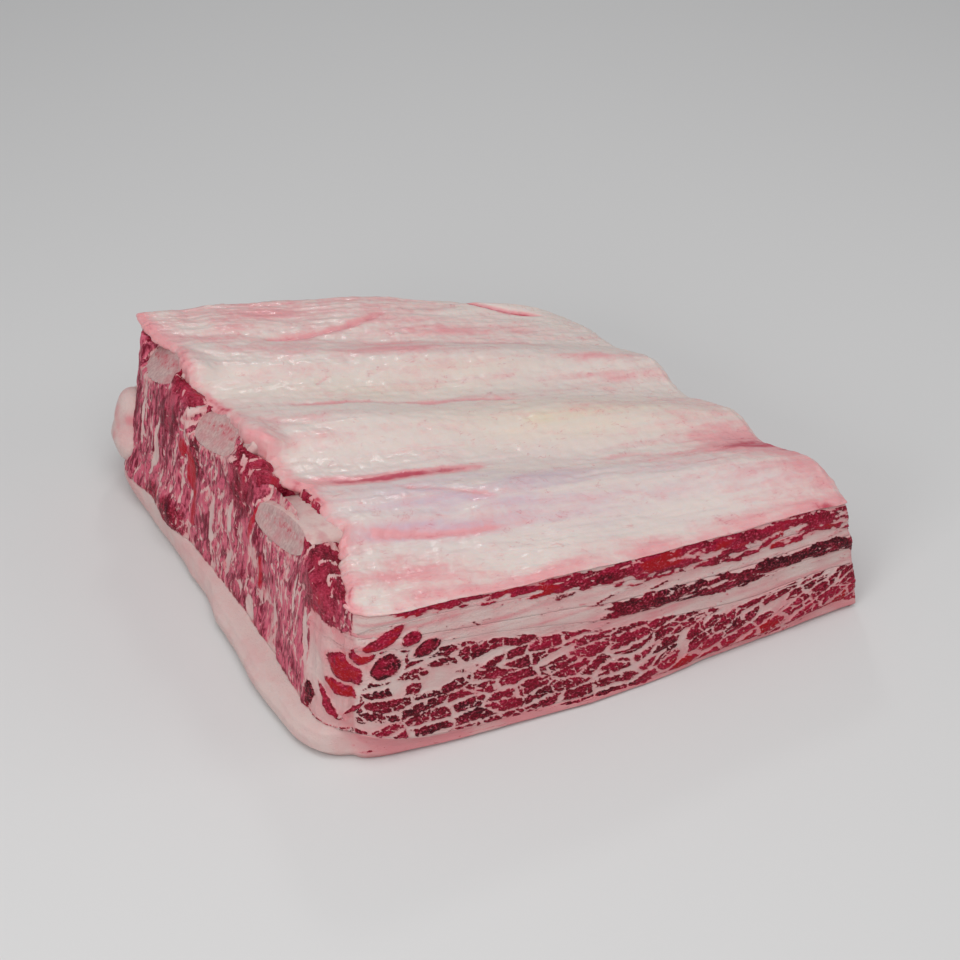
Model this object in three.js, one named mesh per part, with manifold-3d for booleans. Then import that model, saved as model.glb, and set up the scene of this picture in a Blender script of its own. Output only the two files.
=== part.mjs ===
// Raw beef ribs: a square-cut slab of three ribs, bone side up and fat side down.
// Units are millimetres, +Z is up and +X runs along the ribs, from the sawn end to the thin end.
// The slab is a stack of layers on one shared grid. "s" runs 0 to 1 along the ribs and "t" runs
// 0 to 1 from the near cut face to the far one. Every layer is the space between two surfaces.

import * as THREE from 'three';
import { mergeVertices } from 'three/addons/utils/BufferGeometryUtils.js';
import Module from 'manifold-3d';

const wasm = await Module();
wasm.setup();

// ---------------------------------------------------------------------------
// Driving dimensions
// ---------------------------------------------------------------------------

// Corners of the top face in plan, before the corners are rounded.
const NEAR_LEFT = [8, -11];
const NEAR_RIGHT = [213, 9];
const FAR_LEFT = [-21, 197];
const FAR_RIGHT = [166, 185];

// Height of the top face over the four corners.
const HEIGHT_NEAR_LEFT = 70;
const HEIGHT_FAR_LEFT = 76;
const HEIGHT_NEAR_RIGHT = 54;
const HEIGHT_FAR_RIGHT = 45;

// How far each side leans out at the floor, compared with the top.
const FLARE_LEFT_NEAR = 12;
const FLARE_LEFT_FAR = 14;
const FLARE_NEAR = 10;
const FLARE_RIGHT = 9;
const FLARE_FAR = 4;
const FLARE_CURVE = 0.75;
const CORNER_TUCK = 0.55;

// How the four edges of the top face stray from straight lines.
const NEAR_WAVE = 1.1;
const FAR_BOW = 9.5;
const FAR_KNOB = { at: 0.55, reach: 0.1, out: 2 };
const LEFT_WAVE = 3.5;
const LEFT_WAVE_RATE = 5.3;
const RIGHT_BOW = 1.5;
const RIGHT_BULGE = { first: 29, pitch: 51, out: 2.6 };

// Rounding of the four corners, as a share of half the slab.
const CORNER_PULL = { nearLeft: 0.05, nearRight: 0.025, farLeft: 0.05, farRight: 0.06 };
const CORNER_SHARPNESS = 9;
const TIP_PULL_KEPT = 0.2;

// Ribs, nearest first: where each one's middle lies across the slab at its two ends.
const RIBS = [
  { name: 'bone_3', left: 50, right: 32, halfWidth: 19 },
  { name: 'bone_2', left: 106, right: 84, halfWidth: 17 },
  { name: 'bone_1', left: 161, right: 133, halfWidth: 15.5 },
];
const RIB_HALF_THICK_LEFT = 6;
const RIB_HALF_THICK_RIGHT = 5.4;
const RIB_DEPTH_LEFT = 6.6;
const RIB_DEPTH_RIGHT = 8.4;
const RIB_TILT_LEFT = 0.13;
const RIB_NARROWING = 0.8;
const RIB_WAIST = 0.1;
const RIB_SQUARENESS = 0.8;
const RIB_PROUD = 0.7;
const RIB_CLEARANCE = 0.35;
const RIB_OVERSHOOT = 12;
const OPEN_ABOVE = 8;

// The white skin over the ribs.
const COVER_THICK = 3.3;
const RIDGE_HEIGHT = 2.1;
const RIDGE_SPAN = [-0.5, 2.3];
const TOP_UNEVENNESS = 0.8;
const EDGE_DIP = { nearLeft: 2.2, nearRight: 0.8, far: 0.8, end: 1.2, reach: 0.05 };
const TIP_CURL = 1.2;
const SETBACK_BASE = 2.5;
const SETBACK_FADE = 0.05;
const SETBACKS = [
  { at: 12, reach: 16, depth: 8 },
  { at: 47, reach: 14, depth: 8 },
  { at: 99, reach: 15, depth: 11 },
  { at: 158, reach: 13, depth: 5 },
];

// Layer thicknesses along the near face, at five even steps from the sawn end to the thin end.
const NEAR_FACE = {
  cover: [2.6, 1.8, 1.6, 2.2, 1.2],
  intercostal: [4.5, 4.5, 8.5, 8.5, 8.5],
  upperSeam: [5, 8, 7.5, 7.5, 6],
  thinMuscle: [4, 4, 7, 6, 6],
  lowerSeam: [5, 4.6, 4.6, 8, 7],
  cap: [14, 5.5, 3.5, 4, 9],
};
// The same layers at the sawn end, where the two seams taper out, and deep inside the slab.
const LEFT_FACE = { upperSeam: 1.1, thinMuscle: 5, lowerSeam: 1.1, cap: 13 };
const INSIDE = { intercostalDepth: 16.5, upperSeam: 4, thinMuscle: 5, lowerSeam: 4, cap: 7 };
// How far in from a face its own thicknesses hold, as shares of the slab's width or length.
const FACE_REACH = 0.06;
const INSIDE_REACH = 0.2;
const SEAM_TAPER = { reach: 0.14, head: 0.25 };
const DARK_BAND = { start: 0.005, reach: 0.075, endReach: 0.08, endHead: 0.2 };

// The fat cap underneath, and its lip past the meat.
const LIP_LEFT = 5.5;
const LIP_NEAR = 1.2;
const LIP_ELSEWHERE = 1.5;
const FOOT_INSET = 3.5;
// Swells of the fold of fat that climbs round the far left corner, largest first.
const FOLD = [
  { at: [-31, 186, 27], radii: [10, 13, 18] },
  { at: [-14, 199, 17], radii: [17, 8, 14] },
  { at: [12, 205, 9], radii: [20, 6.5, 8] },
];
const FOLD_CLEARANCE = 2.2;
const LIP_GAP = { at: 162, reach: 24, depth: 1.6 };

// Fit and fineness.
const NOMINAL_LENGTH = 200;
const NOMINAL_WIDTH = 190;
const GAP = 0.3;
const COVER_GAP = 0.45;
const COLUMNS = 12;
const ROWS = 20;
const EDGE_CELL = 0.035;

// ---------------------------------------------------------------------------
// Small helpers
// ---------------------------------------------------------------------------

const lerp = (a, b, u) => a + (b - a) * u;
const clamp01 = (u) => Math.min(1, Math.max(0, u));
const smooth = (u) => clamp01(u) ** 2 * (3 - 2 * clamp01(u));
const bump = (u) => Math.exp(-u * u);

// Value at u (0 to 1) along evenly spaced stations.
function along(stations, u) {
  const place = clamp01(u) * (stations.length - 1);
  const first = Math.min(Math.floor(place), stations.length - 2);
  return lerp(stations[first], stations[first + 1], smooth(place - first));
}

// A slow, repeatable unevenness of about one unit, for outlines and surfaces.
function uneven(a, b, turn) {
  return (
    0.5 * Math.sin(0.071 * a + 0.043 * b + turn) +
    0.3 * Math.sin(0.139 * a - 0.117 * b + 2.3 * turn) +
    0.2 * Math.sin(0.031 * a + 0.241 * b + 4.1 * turn)
  );
}

// ---------------------------------------------------------------------------
// Plan of the slab
// ---------------------------------------------------------------------------

function nearEdge(s) {
  return [
    lerp(NEAR_LEFT[0], NEAR_RIGHT[0], s),
    lerp(NEAR_LEFT[1], NEAR_RIGHT[1], s) + NEAR_WAVE * Math.sin(3 * Math.PI * s) * Math.sin(Math.PI * s),
  ];
}

function farEdge(s) {
  const out = FAR_BOW * Math.sin(Math.PI * s) + FAR_KNOB.out * bump((s - FAR_KNOB.at) / FAR_KNOB.reach);
  return [lerp(FAR_LEFT[0], FAR_RIGHT[0], s), lerp(FAR_LEFT[1], FAR_RIGHT[1], s) + out];
}

function leftEdge(t) {
  const bow = LEFT_WAVE * Math.sin(LEFT_WAVE_RATE * t) * Math.sin(Math.PI * t) ** 0.5;
  return [lerp(NEAR_LEFT[0], FAR_LEFT[0], t) + bow, lerp(NEAR_LEFT[1], FAR_LEFT[1], t)];
}

// The thin end bulges over each rib.
function rightEdge(t) {
  const y = lerp(NEAR_RIGHT[1], FAR_RIGHT[1], t);
  const phase = (y - RIGHT_BULGE.first) / RIGHT_BULGE.pitch;
  const bulge = RIGHT_BULGE.out * Math.cos(2 * Math.PI * phase) * Math.sin(Math.PI * t) ** 0.5;
  return [lerp(NEAR_RIGHT[0], FAR_RIGHT[0], t) + RIGHT_BOW * Math.sin(Math.PI * t) + bulge, y];
}

// Pulls the four corners of the unit square inwards.
function roundCorners(s, t, keepTip) {
  const u = 2 * s - 1;
  const v = 2 * t - 1;
  const kept = keepTip ? (1 - TIP_PULL_KEPT) * (1 - s) * t : 0;
  const near = lerp(CORNER_PULL.nearLeft, CORNER_PULL.nearRight, s);
  const far = lerp(CORNER_PULL.farLeft, CORNER_PULL.farRight, s);
  const pull = lerp(near, far, t) * (1 - kept);
  const corner = Math.abs(u * v) ** CORNER_SHARPNESS;
  return [0.5 + 0.5 * u * (1 - pull * corner), 0.5 + 0.5 * v * (1 - pull * corner)];
}

function topPlan(s0, t0, keepTip) {
  const [s, t] = roundCorners(s0, t0, keepTip);
  const near = nearEdge(s);
  const far = farEdge(s);
  const left = leftEdge(t);
  const right = rightEdge(t);
  return [0, 1].map((i) => {
    const corners =
      (1 - s) * (1 - t) * NEAR_LEFT[i] +
      s * (1 - t) * NEAR_RIGHT[i] +
      (1 - s) * t * FAR_LEFT[i] +
      s * t * FAR_RIGHT[i];
    return (1 - t) * near[i] + t * far[i] + (1 - s) * left[i] + s * right[i] - corners;
  });
}

// Mean height of the top face.
function slabHeight(s, t) {
  const near = lerp(HEIGHT_NEAR_LEFT, HEIGHT_NEAR_RIGHT, s);
  const far = lerp(HEIGHT_FAR_LEFT, HEIGHT_FAR_RIGHT, s);
  return lerp(near, far, t);
}

// How much of a side's flare is reached at height z: most of it comes soon below the top.
const flareAt = (z, s, t) => clamp01(1 - z / slabHeight(s, t)) ** FLARE_CURVE;

function plan(s, t, z, keepTip = false) {
  const [x, y] = topPlan(s, t, keepTip);
  const atCorner = Math.abs((2 * s - 1) * (2 * t - 1)) ** CORNER_SHARPNESS;
  const flare = flareAt(z, s, t) * (1 - CORNER_TUCK * (1 - s) * atCorner);
  const left = lerp(FLARE_LEFT_NEAR, FLARE_LEFT_FAR, t) * flare * (1 - s) ** 3;
  const right = FLARE_RIGHT * flare * s ** 3;
  const near = FLARE_NEAR * flare * (1 - t) ** 3;
  const far = FLARE_FAR * flare * t ** 3;
  return [x - left + right, y - near + far + 0.3 * right];
}

// ---------------------------------------------------------------------------
// Surfaces between the layers
// ---------------------------------------------------------------------------

const ribMiddle = (rib, s) => lerp(rib.left, rib.right, s);

// Ridge over each rib, hollow between two ribs, level past the outer ones.
function ridge(s, y) {
  const first = ribMiddle(RIBS[0], s);
  const pitch = (ribMiddle(RIBS[2], s) - first) / 2;
  const phase = Math.min(RIDGE_SPAN[1], Math.max(RIDGE_SPAN[0], (y - first) / pitch));
  return RIDGE_HEIGHT * Math.cos(2 * Math.PI * phase);
}

function topSurface(s, t) {
  const [x, y] = topPlan(s, t);
  const nearDip = lerp(EDGE_DIP.nearLeft, EDGE_DIP.nearRight, s) * bump(t / EDGE_DIP.reach);
  const farDip = EDGE_DIP.far * bump((1 - t) / EDGE_DIP.reach);
  const endDip = EDGE_DIP.end * bump((1 - s) / EDGE_DIP.reach);
  const raised = ridge(s, y) + TOP_UNEVENNESS * uneven(x, y, 0.4);
  return slabHeight(s, t) + raised - nearDip - farDip - endDip;
}

// Blend of the three descriptions of one layer: near and far faces, sawn end, and inside.
function layerThick(name, s, t) {
  const face = along(NEAR_FACE[name], s);
  const edge = Math.min(t, 1 - t);
  const inner = lerp(face, INSIDE[name], smooth(edge / INSIDE_REACH));
  const head = SEAM_TAPER.head * (1 - smooth(edge / FACE_REACH));
  return lerp(LEFT_FACE[name], inner, smooth(s / SEAM_TAPER.reach + head));
}

function coverBottom(s, t) {
  const edge = Math.min(t, 1 - t);
  return topSurface(s, t) - lerp(along(NEAR_FACE.cover, s), COVER_THICK, smooth(edge / FACE_REACH));
}

function intercostalBottom(s, t) {
  const edge = Math.min(t, 1 - t);
  const faceLevel = coverBottom(s, t) - along(NEAR_FACE.intercostal, s);
  const inside = slabHeight(s, t) - INSIDE.intercostalDepth;
  const reach = smooth((edge - DARK_BAND.start) / DARK_BAND.reach);
  const atEnd = 1 - smooth(s / DARK_BAND.endReach + DARK_BAND.endHead);
  const level = lerp(faceLevel, inside, Math.max(reach, atEnd));
  return level + 0.6 * uneven(NOMINAL_LENGTH * s, NOMINAL_WIDTH * t, 1.7) * smooth(edge / 0.1);
}

const upperSeamBottom = (s, t) => intercostalBottom(s, t) - layerThick('upperSeam', s, t);
const thinMuscleBottom = (s, t) => upperSeamBottom(s, t) - layerThick('thinMuscle', s, t);
const lowerSeamBottom = (s, t) => thinMuscleBottom(s, t) - layerThick('lowerSeam', s, t);
const mainMuscleBottom = (s, t) =>
  layerThick('cap', s, t) + 0.7 * uneven(NOMINAL_LENGTH * s, NOMINAL_WIDTH * t, 2.9);
const floorLevel = () => 0;

// ---------------------------------------------------------------------------
// From surfaces to solids
// ---------------------------------------------------------------------------

// Cell boundaries from 0 to 1, with one narrow cell at each end.
function cellBounds(count) {
  const inner = count - 2;
  const bounds = [0];
  for (let i = 0; i <= inner; i += 1) {
    bounds.push(lerp(EDGE_CELL, 1 - EDGE_CELL, i / inner));
  }
  bounds.push(1);
  return bounds;
}

const COLUMN_AT = cellBounds(COLUMNS);
const ROW_AT = cellBounds(ROWS);

// Grid places round the rim, anticlockwise seen from above.
function rimPlaces() {
  const places = [];
  for (let i = 0; i < COLUMNS; i += 1) {
    places.push([i, 0]);
  }
  for (let j = 0; j < ROWS; j += 1) {
    places.push([COLUMNS, j]);
  }
  for (let i = COLUMNS; i > 0; i -= 1) {
    places.push([i, ROWS]);
  }
  for (let j = ROWS; j > 0; j -= 1) {
    places.push([0, j]);
  }
  return places;
}

const RIM = rimPlaces();

// Outward direction in plan at each rim place.
function rimNormals(points) {
  return points.map((_, k) => {
    const before = points[(k + points.length - 1) % points.length];
    const after = points[(k + 1) % points.length];
    const dx = after[0] - before[0];
    const dy = after[1] - before[1];
    const length = Math.hypot(dx, dy);
    return [dy / length, -dx / length];
  });
}

function solidFrom(points, faces) {
  const geometry = new THREE.BufferGeometry();
  geometry.setAttribute('position', new THREE.Float32BufferAttribute(points.flat(), 3));
  geometry.setIndex(faces.flat());
  return geometry;
}

// A closed layer between two surfaces. "wall" lists the rows between them, from the top down:
// how far down each row lies (0 to 1), and its reach outwards by the row's place on the rim.
function layerSolid({ upper, lower, wall, startAt = () => 0, keepTip = false, foot = 0 }) {
  const points = [];
  const faces = [];
  const index = { top: [], bottom: [] };
  const place = (i, j) => {
    const t = ROW_AT[j];
    const yielding = Math.max(0, 1 - COLUMN_AT[i] / COLUMN_AT[2]);
    return [COLUMN_AT[i] + startAt(t) * yielding, t];
  };
  const add = (point) => points.push(point) - 1;
  const rimOutline = RIM.map(([i, j]) => topPlan(...place(i, j), keepTip));
  const normals = rimNormals(rimOutline);
  const rimOrder = new Map(RIM.map(([i, j], k) => [`${i},${j}`, k]));

  for (const side of ['top', 'bottom']) {
    for (let i = 0; i <= COLUMNS; i += 1) {
      index[side].push([]);
      for (let j = 0; j <= ROWS; j += 1) {
        const [s, t] = place(i, j);
        const z = side === 'top' ? upper(s, t) : lower(s, t);
        const [x, y] = plan(s, t, z, keepTip);
        const k = rimOrder.get(`${i},${j}`);
        const inset = side === 'bottom' && k !== undefined ? foot : 0;
        const normal = k === undefined ? [0, 0] : normals[k];
        index[side][i].push(add([x - inset * normal[0], y - inset * normal[1], z]));
      }
    }
  }
  for (let i = 0; i < COLUMNS; i += 1) {
    for (let j = 0; j < ROWS; j += 1) {
      const corner = (side, di, dj) => index[side][i + di][j + dj];
      faces.push([corner('top', 0, 0), corner('top', 1, 0), corner('top', 1, 1)]);
      faces.push([corner('top', 0, 0), corner('top', 1, 1), corner('top', 0, 1)]);
      faces.push([corner('bottom', 0, 0), corner('bottom', 1, 1), corner('bottom', 1, 0)]);
      faces.push([corner('bottom', 0, 0), corner('bottom', 0, 1), corner('bottom', 1, 1)]);
    }
  }
  const loops = [RIM.map(([i, j]) => index.top[i][j])];
  for (const row of wall) {
    loops.push(
      RIM.map(([i, j], k) => {
        const [s, t] = place(i, j);
        const z = lerp(upper(s, t), lower(s, t), row.down);
        const [x, y] = plan(s, t, z, keepTip);
        const reach = row.reach(s, t, z, k);
        return add([x + reach * normals[k][0], y + reach * normals[k][1], z]);
      }),
    );
  }
  loops.push(RIM.map(([i, j]) => index.bottom[i][j]));
  for (let r = 0; r + 1 < loops.length; r += 1) {
    for (let k = 0; k < RIM.length; k += 1) {
      const next = (k + 1) % RIM.length;
      faces.push([loops[r][k], loops[r + 1][k], loops[r + 1][next]]);
      faces.push([loops[r][k], loops[r + 1][next], loops[r][next]]);
    }
  }
  return solidFrom(points, faces);
}

// 1 at the sawn end or the near face, fading soon behind it.
const atFace = (u) => (1 - u) ** 8;

// ---------------------------------------------------------------------------
// Ribs
// ---------------------------------------------------------------------------

const RIB_SIDES = 16;
const RIB_STATIONS = 8;

// X of the slab's end faces at a point y, z.
function endFace(y, z, atRight) {
  const start = atRight ? NEAR_RIGHT[1] : NEAR_LEFT[1];
  const end = atRight ? FAR_RIGHT[1] : FAR_LEFT[1];
  const t = clamp01((y - start) / (end - start));
  return plan(atRight ? 1 : 0, t, z)[0];
}

// "grow" swells the section, "extend" lengthens both ends, and "raise" lifts its upper half.
function ribSolid(rib, { grow = 0, extend = 0, raise = 0 } = {}) {
  const points = [];
  const faces = [];
  const longer = extend > 0 ? 1 : 0;
  for (let a = -longer; a <= RIB_STATIONS + longer; a += 1) {
    const s = clamp01(a / RIB_STATIONS);
    const beyond = extend * Math.sign(a / RIB_STATIONS - s);
    const middleY = ribMiddle(rib, s);
    const t = (middleY - NEAR_LEFT[1]) / (FAR_LEFT[1] - NEAR_LEFT[1]);
    const middleZ = slabHeight(s, t) - lerp(RIB_DEPTH_LEFT, RIB_DEPTH_RIGHT, s);
    const waist = 1 - RIB_WAIST * Math.sin(Math.PI * s);
    const halfWidth = rib.halfWidth * lerp(1, RIB_NARROWING, s) * waist + grow;
    const halfThick = lerp(RIB_HALF_THICK_LEFT, RIB_HALF_THICK_RIGHT, s) + grow;
    const tilt = RIB_TILT_LEFT * (1 - s) ** 2;
    for (let k = 0; k < RIB_SIDES; k += 1) {
      const angle = (2 * Math.PI * k) / RIB_SIDES;
      const c = Math.cos(angle);
      const d = Math.sin(angle);
      const across = halfWidth * Math.sign(c) * Math.abs(c) ** RIB_SQUARENESS;
      const up = halfThick * Math.sign(d) * Math.abs(d) ** RIB_SQUARENESS;
      const y = middleY + across * Math.cos(tilt) + up * Math.sin(tilt);
      const lift = up > 0.5 * halfThick ? raise : 0;
      const z = middleZ + up * Math.cos(tilt) - across * Math.sin(tilt) + lift;
      const x = lerp(endFace(y, z, false) - RIB_PROUD, endFace(y, z, true), s);
      points.push([x + beyond, y, z]);
    }
  }
  const at = (a, k) => a * RIB_SIDES + (k % RIB_SIDES);
  const last = RIB_STATIONS + 2 * longer;
  for (let a = 0; a < last; a += 1) {
    for (let k = 0; k < RIB_SIDES; k += 1) {
      faces.push([at(a, k), at(a, k + 1), at(a + 1, k + 1)]);
      faces.push([at(a, k), at(a + 1, k + 1), at(a + 1, k)]);
    }
  }
  for (let k = 1; k + 1 < RIB_SIDES; k += 1) {
    faces.push([at(0, 0), at(0, k + 1), at(0, k)]);
    faces.push([at(last, 0), at(last, k), at(last, k + 1)]);
  }
  return solidFrom(points, faces);
}

// ---------------------------------------------------------------------------
// Cuts and joins
// ---------------------------------------------------------------------------

function toManifold(geometry) {
  const merged = mergeVertices(geometry, 1e-4);
  return new wasm.Manifold(
    new wasm.Mesh({
      numProp: 3,
      vertProperties: new Float32Array(merged.attributes.position.array),
      triVerts: new Uint32Array(merged.index.array),
    }),
  );
}

function fromManifold(solid) {
  const mesh = solid.getMesh();
  const geometry = new THREE.BufferGeometry();
  geometry.setAttribute('position', new THREE.BufferAttribute(mesh.vertProperties, 3));
  geometry.setIndex(new THREE.BufferAttribute(mesh.triVerts, 1));
  return geometry;
}

function withoutRibs(geometry, raise) {
  let solid = toManifold(geometry);
  for (const rib of RIBS) {
    const room = ribSolid(rib, { grow: RIB_CLEARANCE, extend: RIB_OVERSHOOT, raise });
    solid = solid.subtract(toManifold(room));
  }
  return fromManifold(solid);
}

// ---------------------------------------------------------------------------
// Layers
// ---------------------------------------------------------------------------

const below = (surface) => (s, t) => surface(s, t) - GAP / 2;
const above = (surface) => (s, t) => surface(s, t) + GAP / 2;

// How far the skin stops short of the sawn end, as a share of the slab's length.
function coverStart(t) {
  const y = lerp(NEAR_LEFT[1], FAR_LEFT[1], t);
  const bites = SETBACKS.reduce((sum, b) => sum + b.depth * bump((y - b.at) / b.reach), 0);
  const edge = Math.min(1, (1 - t) / SETBACK_FADE);
  return ((SETBACK_BASE + bites) * edge) / NOMINAL_LENGTH;
}

const bulging = (amount, turn) => [
  { down: 0.33, reach: (s, t, z, k) => amount * (1 + 0.7 * uneven(9 * k, 6 * z, turn)) },
  { down: 0.67, reach: (s, t, z, k) => amount * (1 + 0.7 * uneven(9 * k, 6 * z, turn + 1)) },
];
const single = (amount, turn) => [
  { down: 0.5, reach: (s, t, z, k) => amount * (1 + 0.8 * uneven(9 * k, 6 * z, turn)) },
];

// The lip is missing just short of the fold.
function lip(s, t) {
  const y = lerp(NEAR_LEFT[1], FAR_LEFT[1], t);
  const left = atFace(s) * (1 - LIP_GAP.depth * bump((y - LIP_GAP.at) / LIP_GAP.reach));
  return LIP_ELSEWHERE + (LIP_LEFT - LIP_ELSEWHERE) * left + (LIP_NEAR - LIP_ELSEWHERE) * atFace(t);
}

const capWall = [
  { down: 0.22, reach: (s, t, z, k) => 0.75 * lip(s, t) + 0.4 * uneven(11 * k, 0, 0.3) },
  { down: 0.5, reach: (s, t, z, k) => lip(s, t) + 0.9 * uneven(13 * k, 0, 0.9) },
  { down: 0.8, reach: (s, t, z, k) => 0.8 * lip(s, t) + 0.9 * uneven(13 * k, 0, 1.1) },
];

function swellSolid({ at, radii }) {
  const ball = new THREE.SphereGeometry(1, 14, 10);
  ball.deleteAttribute('normal');
  ball.deleteAttribute('uv');
  ball.rotateX(Math.PI / 2);
  ball.scale(...radii);
  ball.translate(...at);
  return ball;
}

// The fat cap with its far left fold, which hugs the meat above it.
function capSolid() {
  const flat = layerSolid({
    upper: below(mainMuscleBottom),
    lower: floorLevel,
    wall: capWall,
    foot: FOOT_INSET,
  });
  const meat = layerSolid({
    upper: topSurface,
    lower: above(mainMuscleBottom),
    wall: [0.2, 0.4, 0.6, 0.8].map((down) => ({ down, reach: () => FOLD_CLEARANCE })),
  });
  const core = toManifold(meat);
  let cap = toManifold(flat);
  for (const swell of FOLD) {
    cap = cap.add(toManifold(swellSolid(swell)).subtract(core));
  }
  return fromManifold(cap);
}

// ---------------------------------------------------------------------------
// The slab
// ---------------------------------------------------------------------------

const FINISHES = {
  skin: { color: 0xdccbc6, roughness: 0.35 },
  bone: { color: 0xc2b3a9, roughness: 0.6 },
  darkMeat: { color: 0x8e1f38, roughness: 0.35 },
  marbledMeat: { color: 0xa8304a, roughness: 0.35 },
  fat: { color: 0xe2c4c2, roughness: 0.45 },
  capFat: { color: 0xe0cbc4, roughness: 0.45 },
};

const slab = new THREE.Group();

function addPiece(name, geometry, finish) {
  geometry.computeVertexNormals();
  const material = new THREE.MeshStandardMaterial({ ...FINISHES[finish], metalness: 0 });
  const mesh = new THREE.Mesh(geometry, material);
  mesh.name = name;
  slab.add(mesh);
}

// The skin's far left tip curls up a little.
const tipLift = (s, t) => TIP_CURL * ((1 - s) * t) ** CORNER_SHARPNESS;

const cover = layerSolid({
  upper: (s, t) => topSurface(s, t) + tipLift(s, t),
  lower: (s, t) => coverBottom(s, t) + COVER_GAP + tipLift(s, t),
  wall: single(0.5, 0.2),
  startAt: coverStart,
  keepTip: true,
});
addPiece('membrane_cover', withoutRibs(cover, 0), 'skin');

const intercostal = layerSolid({
  upper: below(coverBottom),
  lower: above(intercostalBottom),
  wall: bulging(0.7, 1.3),
});
addPiece('intercostal_meat', withoutRibs(intercostal, OPEN_ABOVE), 'darkMeat');

for (const rib of RIBS) {
  addPiece(rib.name, ribSolid(rib), 'bone');
}

const layers = [
  ['fat_seam_upper', intercostalBottom, upperSeamBottom, single(-0.4, 2.1), 'fat'],
  ['thin_muscle', upperSeamBottom, thinMuscleBottom, single(0.8, 3.2), 'darkMeat'],
  ['fat_seam_lower', thinMuscleBottom, lowerSeamBottom, single(-0.5, 4.4), 'fat'],
  ['main_muscle', lowerSeamBottom, mainMuscleBottom, bulging(0.9, 5.1), 'marbledMeat'],
];
for (const [name, upper, lower, wall, finish] of layers) {
  addPiece(name, layerSolid({ upper: below(upper), lower: above(lower), wall }), finish);
}

addPiece('fat_cap', capSolid(), 'capFat');

// The origin is the middle of the slab's box, on the floor.
const box = new THREE.Box3().setFromObject(slab);
const middle = box.getCenter(new THREE.Vector3());
slab.position.set(-middle.x, -middle.y, -box.min.z);
slab.updateMatrixWorld(true);

export default slab;
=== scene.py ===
# %% [markdown]
# # Raw beef ribs
# A square-cut slab of three beef ribs lies bone side up on its fat cap. On the real thing every layer is
# grown together: white skin over the ribs, dark meat round the bones, two fat seams with a thin muscle
# between them, a thick marbled muscle, and the fat cap underneath.
# The fixed frame gives each layer's place. This script gives each one a dense skin with real relief:
# bulging meat, sunken fat, sawn bone. The frame comes first, because everything is measured against it.

# %% Load the fixed frame
import math

import bpy
import numpy as np
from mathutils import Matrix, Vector


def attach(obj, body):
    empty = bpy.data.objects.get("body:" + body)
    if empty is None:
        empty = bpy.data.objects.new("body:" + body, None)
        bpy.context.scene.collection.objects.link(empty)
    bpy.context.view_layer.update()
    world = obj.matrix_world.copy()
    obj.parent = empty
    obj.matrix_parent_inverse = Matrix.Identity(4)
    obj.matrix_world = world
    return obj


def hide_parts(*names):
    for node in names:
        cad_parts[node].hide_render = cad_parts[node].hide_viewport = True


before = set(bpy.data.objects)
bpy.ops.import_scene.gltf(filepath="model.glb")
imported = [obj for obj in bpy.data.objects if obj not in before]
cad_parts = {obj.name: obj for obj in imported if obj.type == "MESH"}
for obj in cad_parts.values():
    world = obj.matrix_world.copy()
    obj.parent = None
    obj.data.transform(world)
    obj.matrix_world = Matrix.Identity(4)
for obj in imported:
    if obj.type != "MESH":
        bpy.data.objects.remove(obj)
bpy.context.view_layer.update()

# %% [markdown]
# ## The camera
# The photo looks down on the sawn end and the near cut face. The slab's straight edges give the camera:
# 36 degrees above the table, turned 20 degrees towards the sawn end, with a lens of about 73 mm.
# The camera is made first, so that every later look is from the same place.

# %% Place the camera
MM = 0.001
SLAB_MIDDLE = (89.696, 96.055)
SLAB_LENGTH, SLAB_WIDTH = 200, 190
CAMERA_AT = (-123.3, -502.9, 492.6)
CAMERA_AIM = (89.73, 82.46, 40.0)
LENS_MM = 73.125


def in_frame(x, y, z):
    """A place in the slab's own millimetres, as metres in the frame."""
    return Vector(((x - SLAB_MIDDLE[0]) * MM, (y - SLAB_MIDDLE[1]) * MM, z * MM))


camera = bpy.data.objects.new("camera", bpy.data.cameras.new("camera"))
camera.location = in_frame(*CAMERA_AT)
look = in_frame(*CAMERA_AIM) - camera.location
camera.rotation_euler = look.to_track_quat("-Z", "Y").to_euler()
camera.data.lens = LENS_MM
camera.data.sensor_width = 36
bpy.context.scene.collection.objects.link(camera)
bpy.context.scene.camera = camera
print(f"camera {look.length:.3f} m from the slab")

# %% [markdown]
# ## The slab's shape as functions
# Along the ribs "s" runs 0 to 1 from the sawn end to the thin end, and across them "t" runs 0 to 1 from the
# near cut face to the far one. A few curves give the outline, and each layer is the space between two
# height surfaces over (s, t). They could be drawn by hand, but as functions they can be sampled as
# densely as the relief needs, and neighbours that sample the same surface always meet.

# %% Small helpers
def lerp(a, b, u):
    return a + (b - a) * u


def smooth(u):
    u = np.clip(u, 0, 1)
    return u * u * (3 - 2 * u)


def bump(u):
    return np.exp(-u * u)


def along(stations, u):
    """The value at u (0 to 1) along evenly spaced stations."""
    values = np.asarray(stations, float)
    place = np.clip(u, 0, 1) * (len(values) - 1)
    first = np.minimum(np.floor(place).astype(int), len(values) - 2)
    return lerp(values[first], values[first + 1], smooth(place - first))


def uneven(a, b, turn):
    """A slow unevenness of about one unit."""
    return (
        0.5 * np.sin(0.071 * a + 0.043 * b + turn)
        + 0.3 * np.sin(0.139 * a - 0.117 * b + 2.3 * turn)
        + 0.2 * np.sin(0.031 * a + 0.241 * b + 4.1 * turn)
    )


# %% The outline of the top face
NEAR_LEFT, NEAR_RIGHT = (8, -11), (213, 9)
FAR_LEFT, FAR_RIGHT = (-21, 197), (166, 185)
HEIGHTS = {"near_left": 70, "far_left": 76, "near_right": 54, "far_right": 45}
RIGHT_BULGE = {"first": 29, "pitch": 51, "out": 2.6}
CORNER_PULL = {"near_left": 0.05, "near_right": 0.025, "far_left": 0.05, "far_right": 0.06}
CORNER_SHARPNESS = 9


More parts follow.
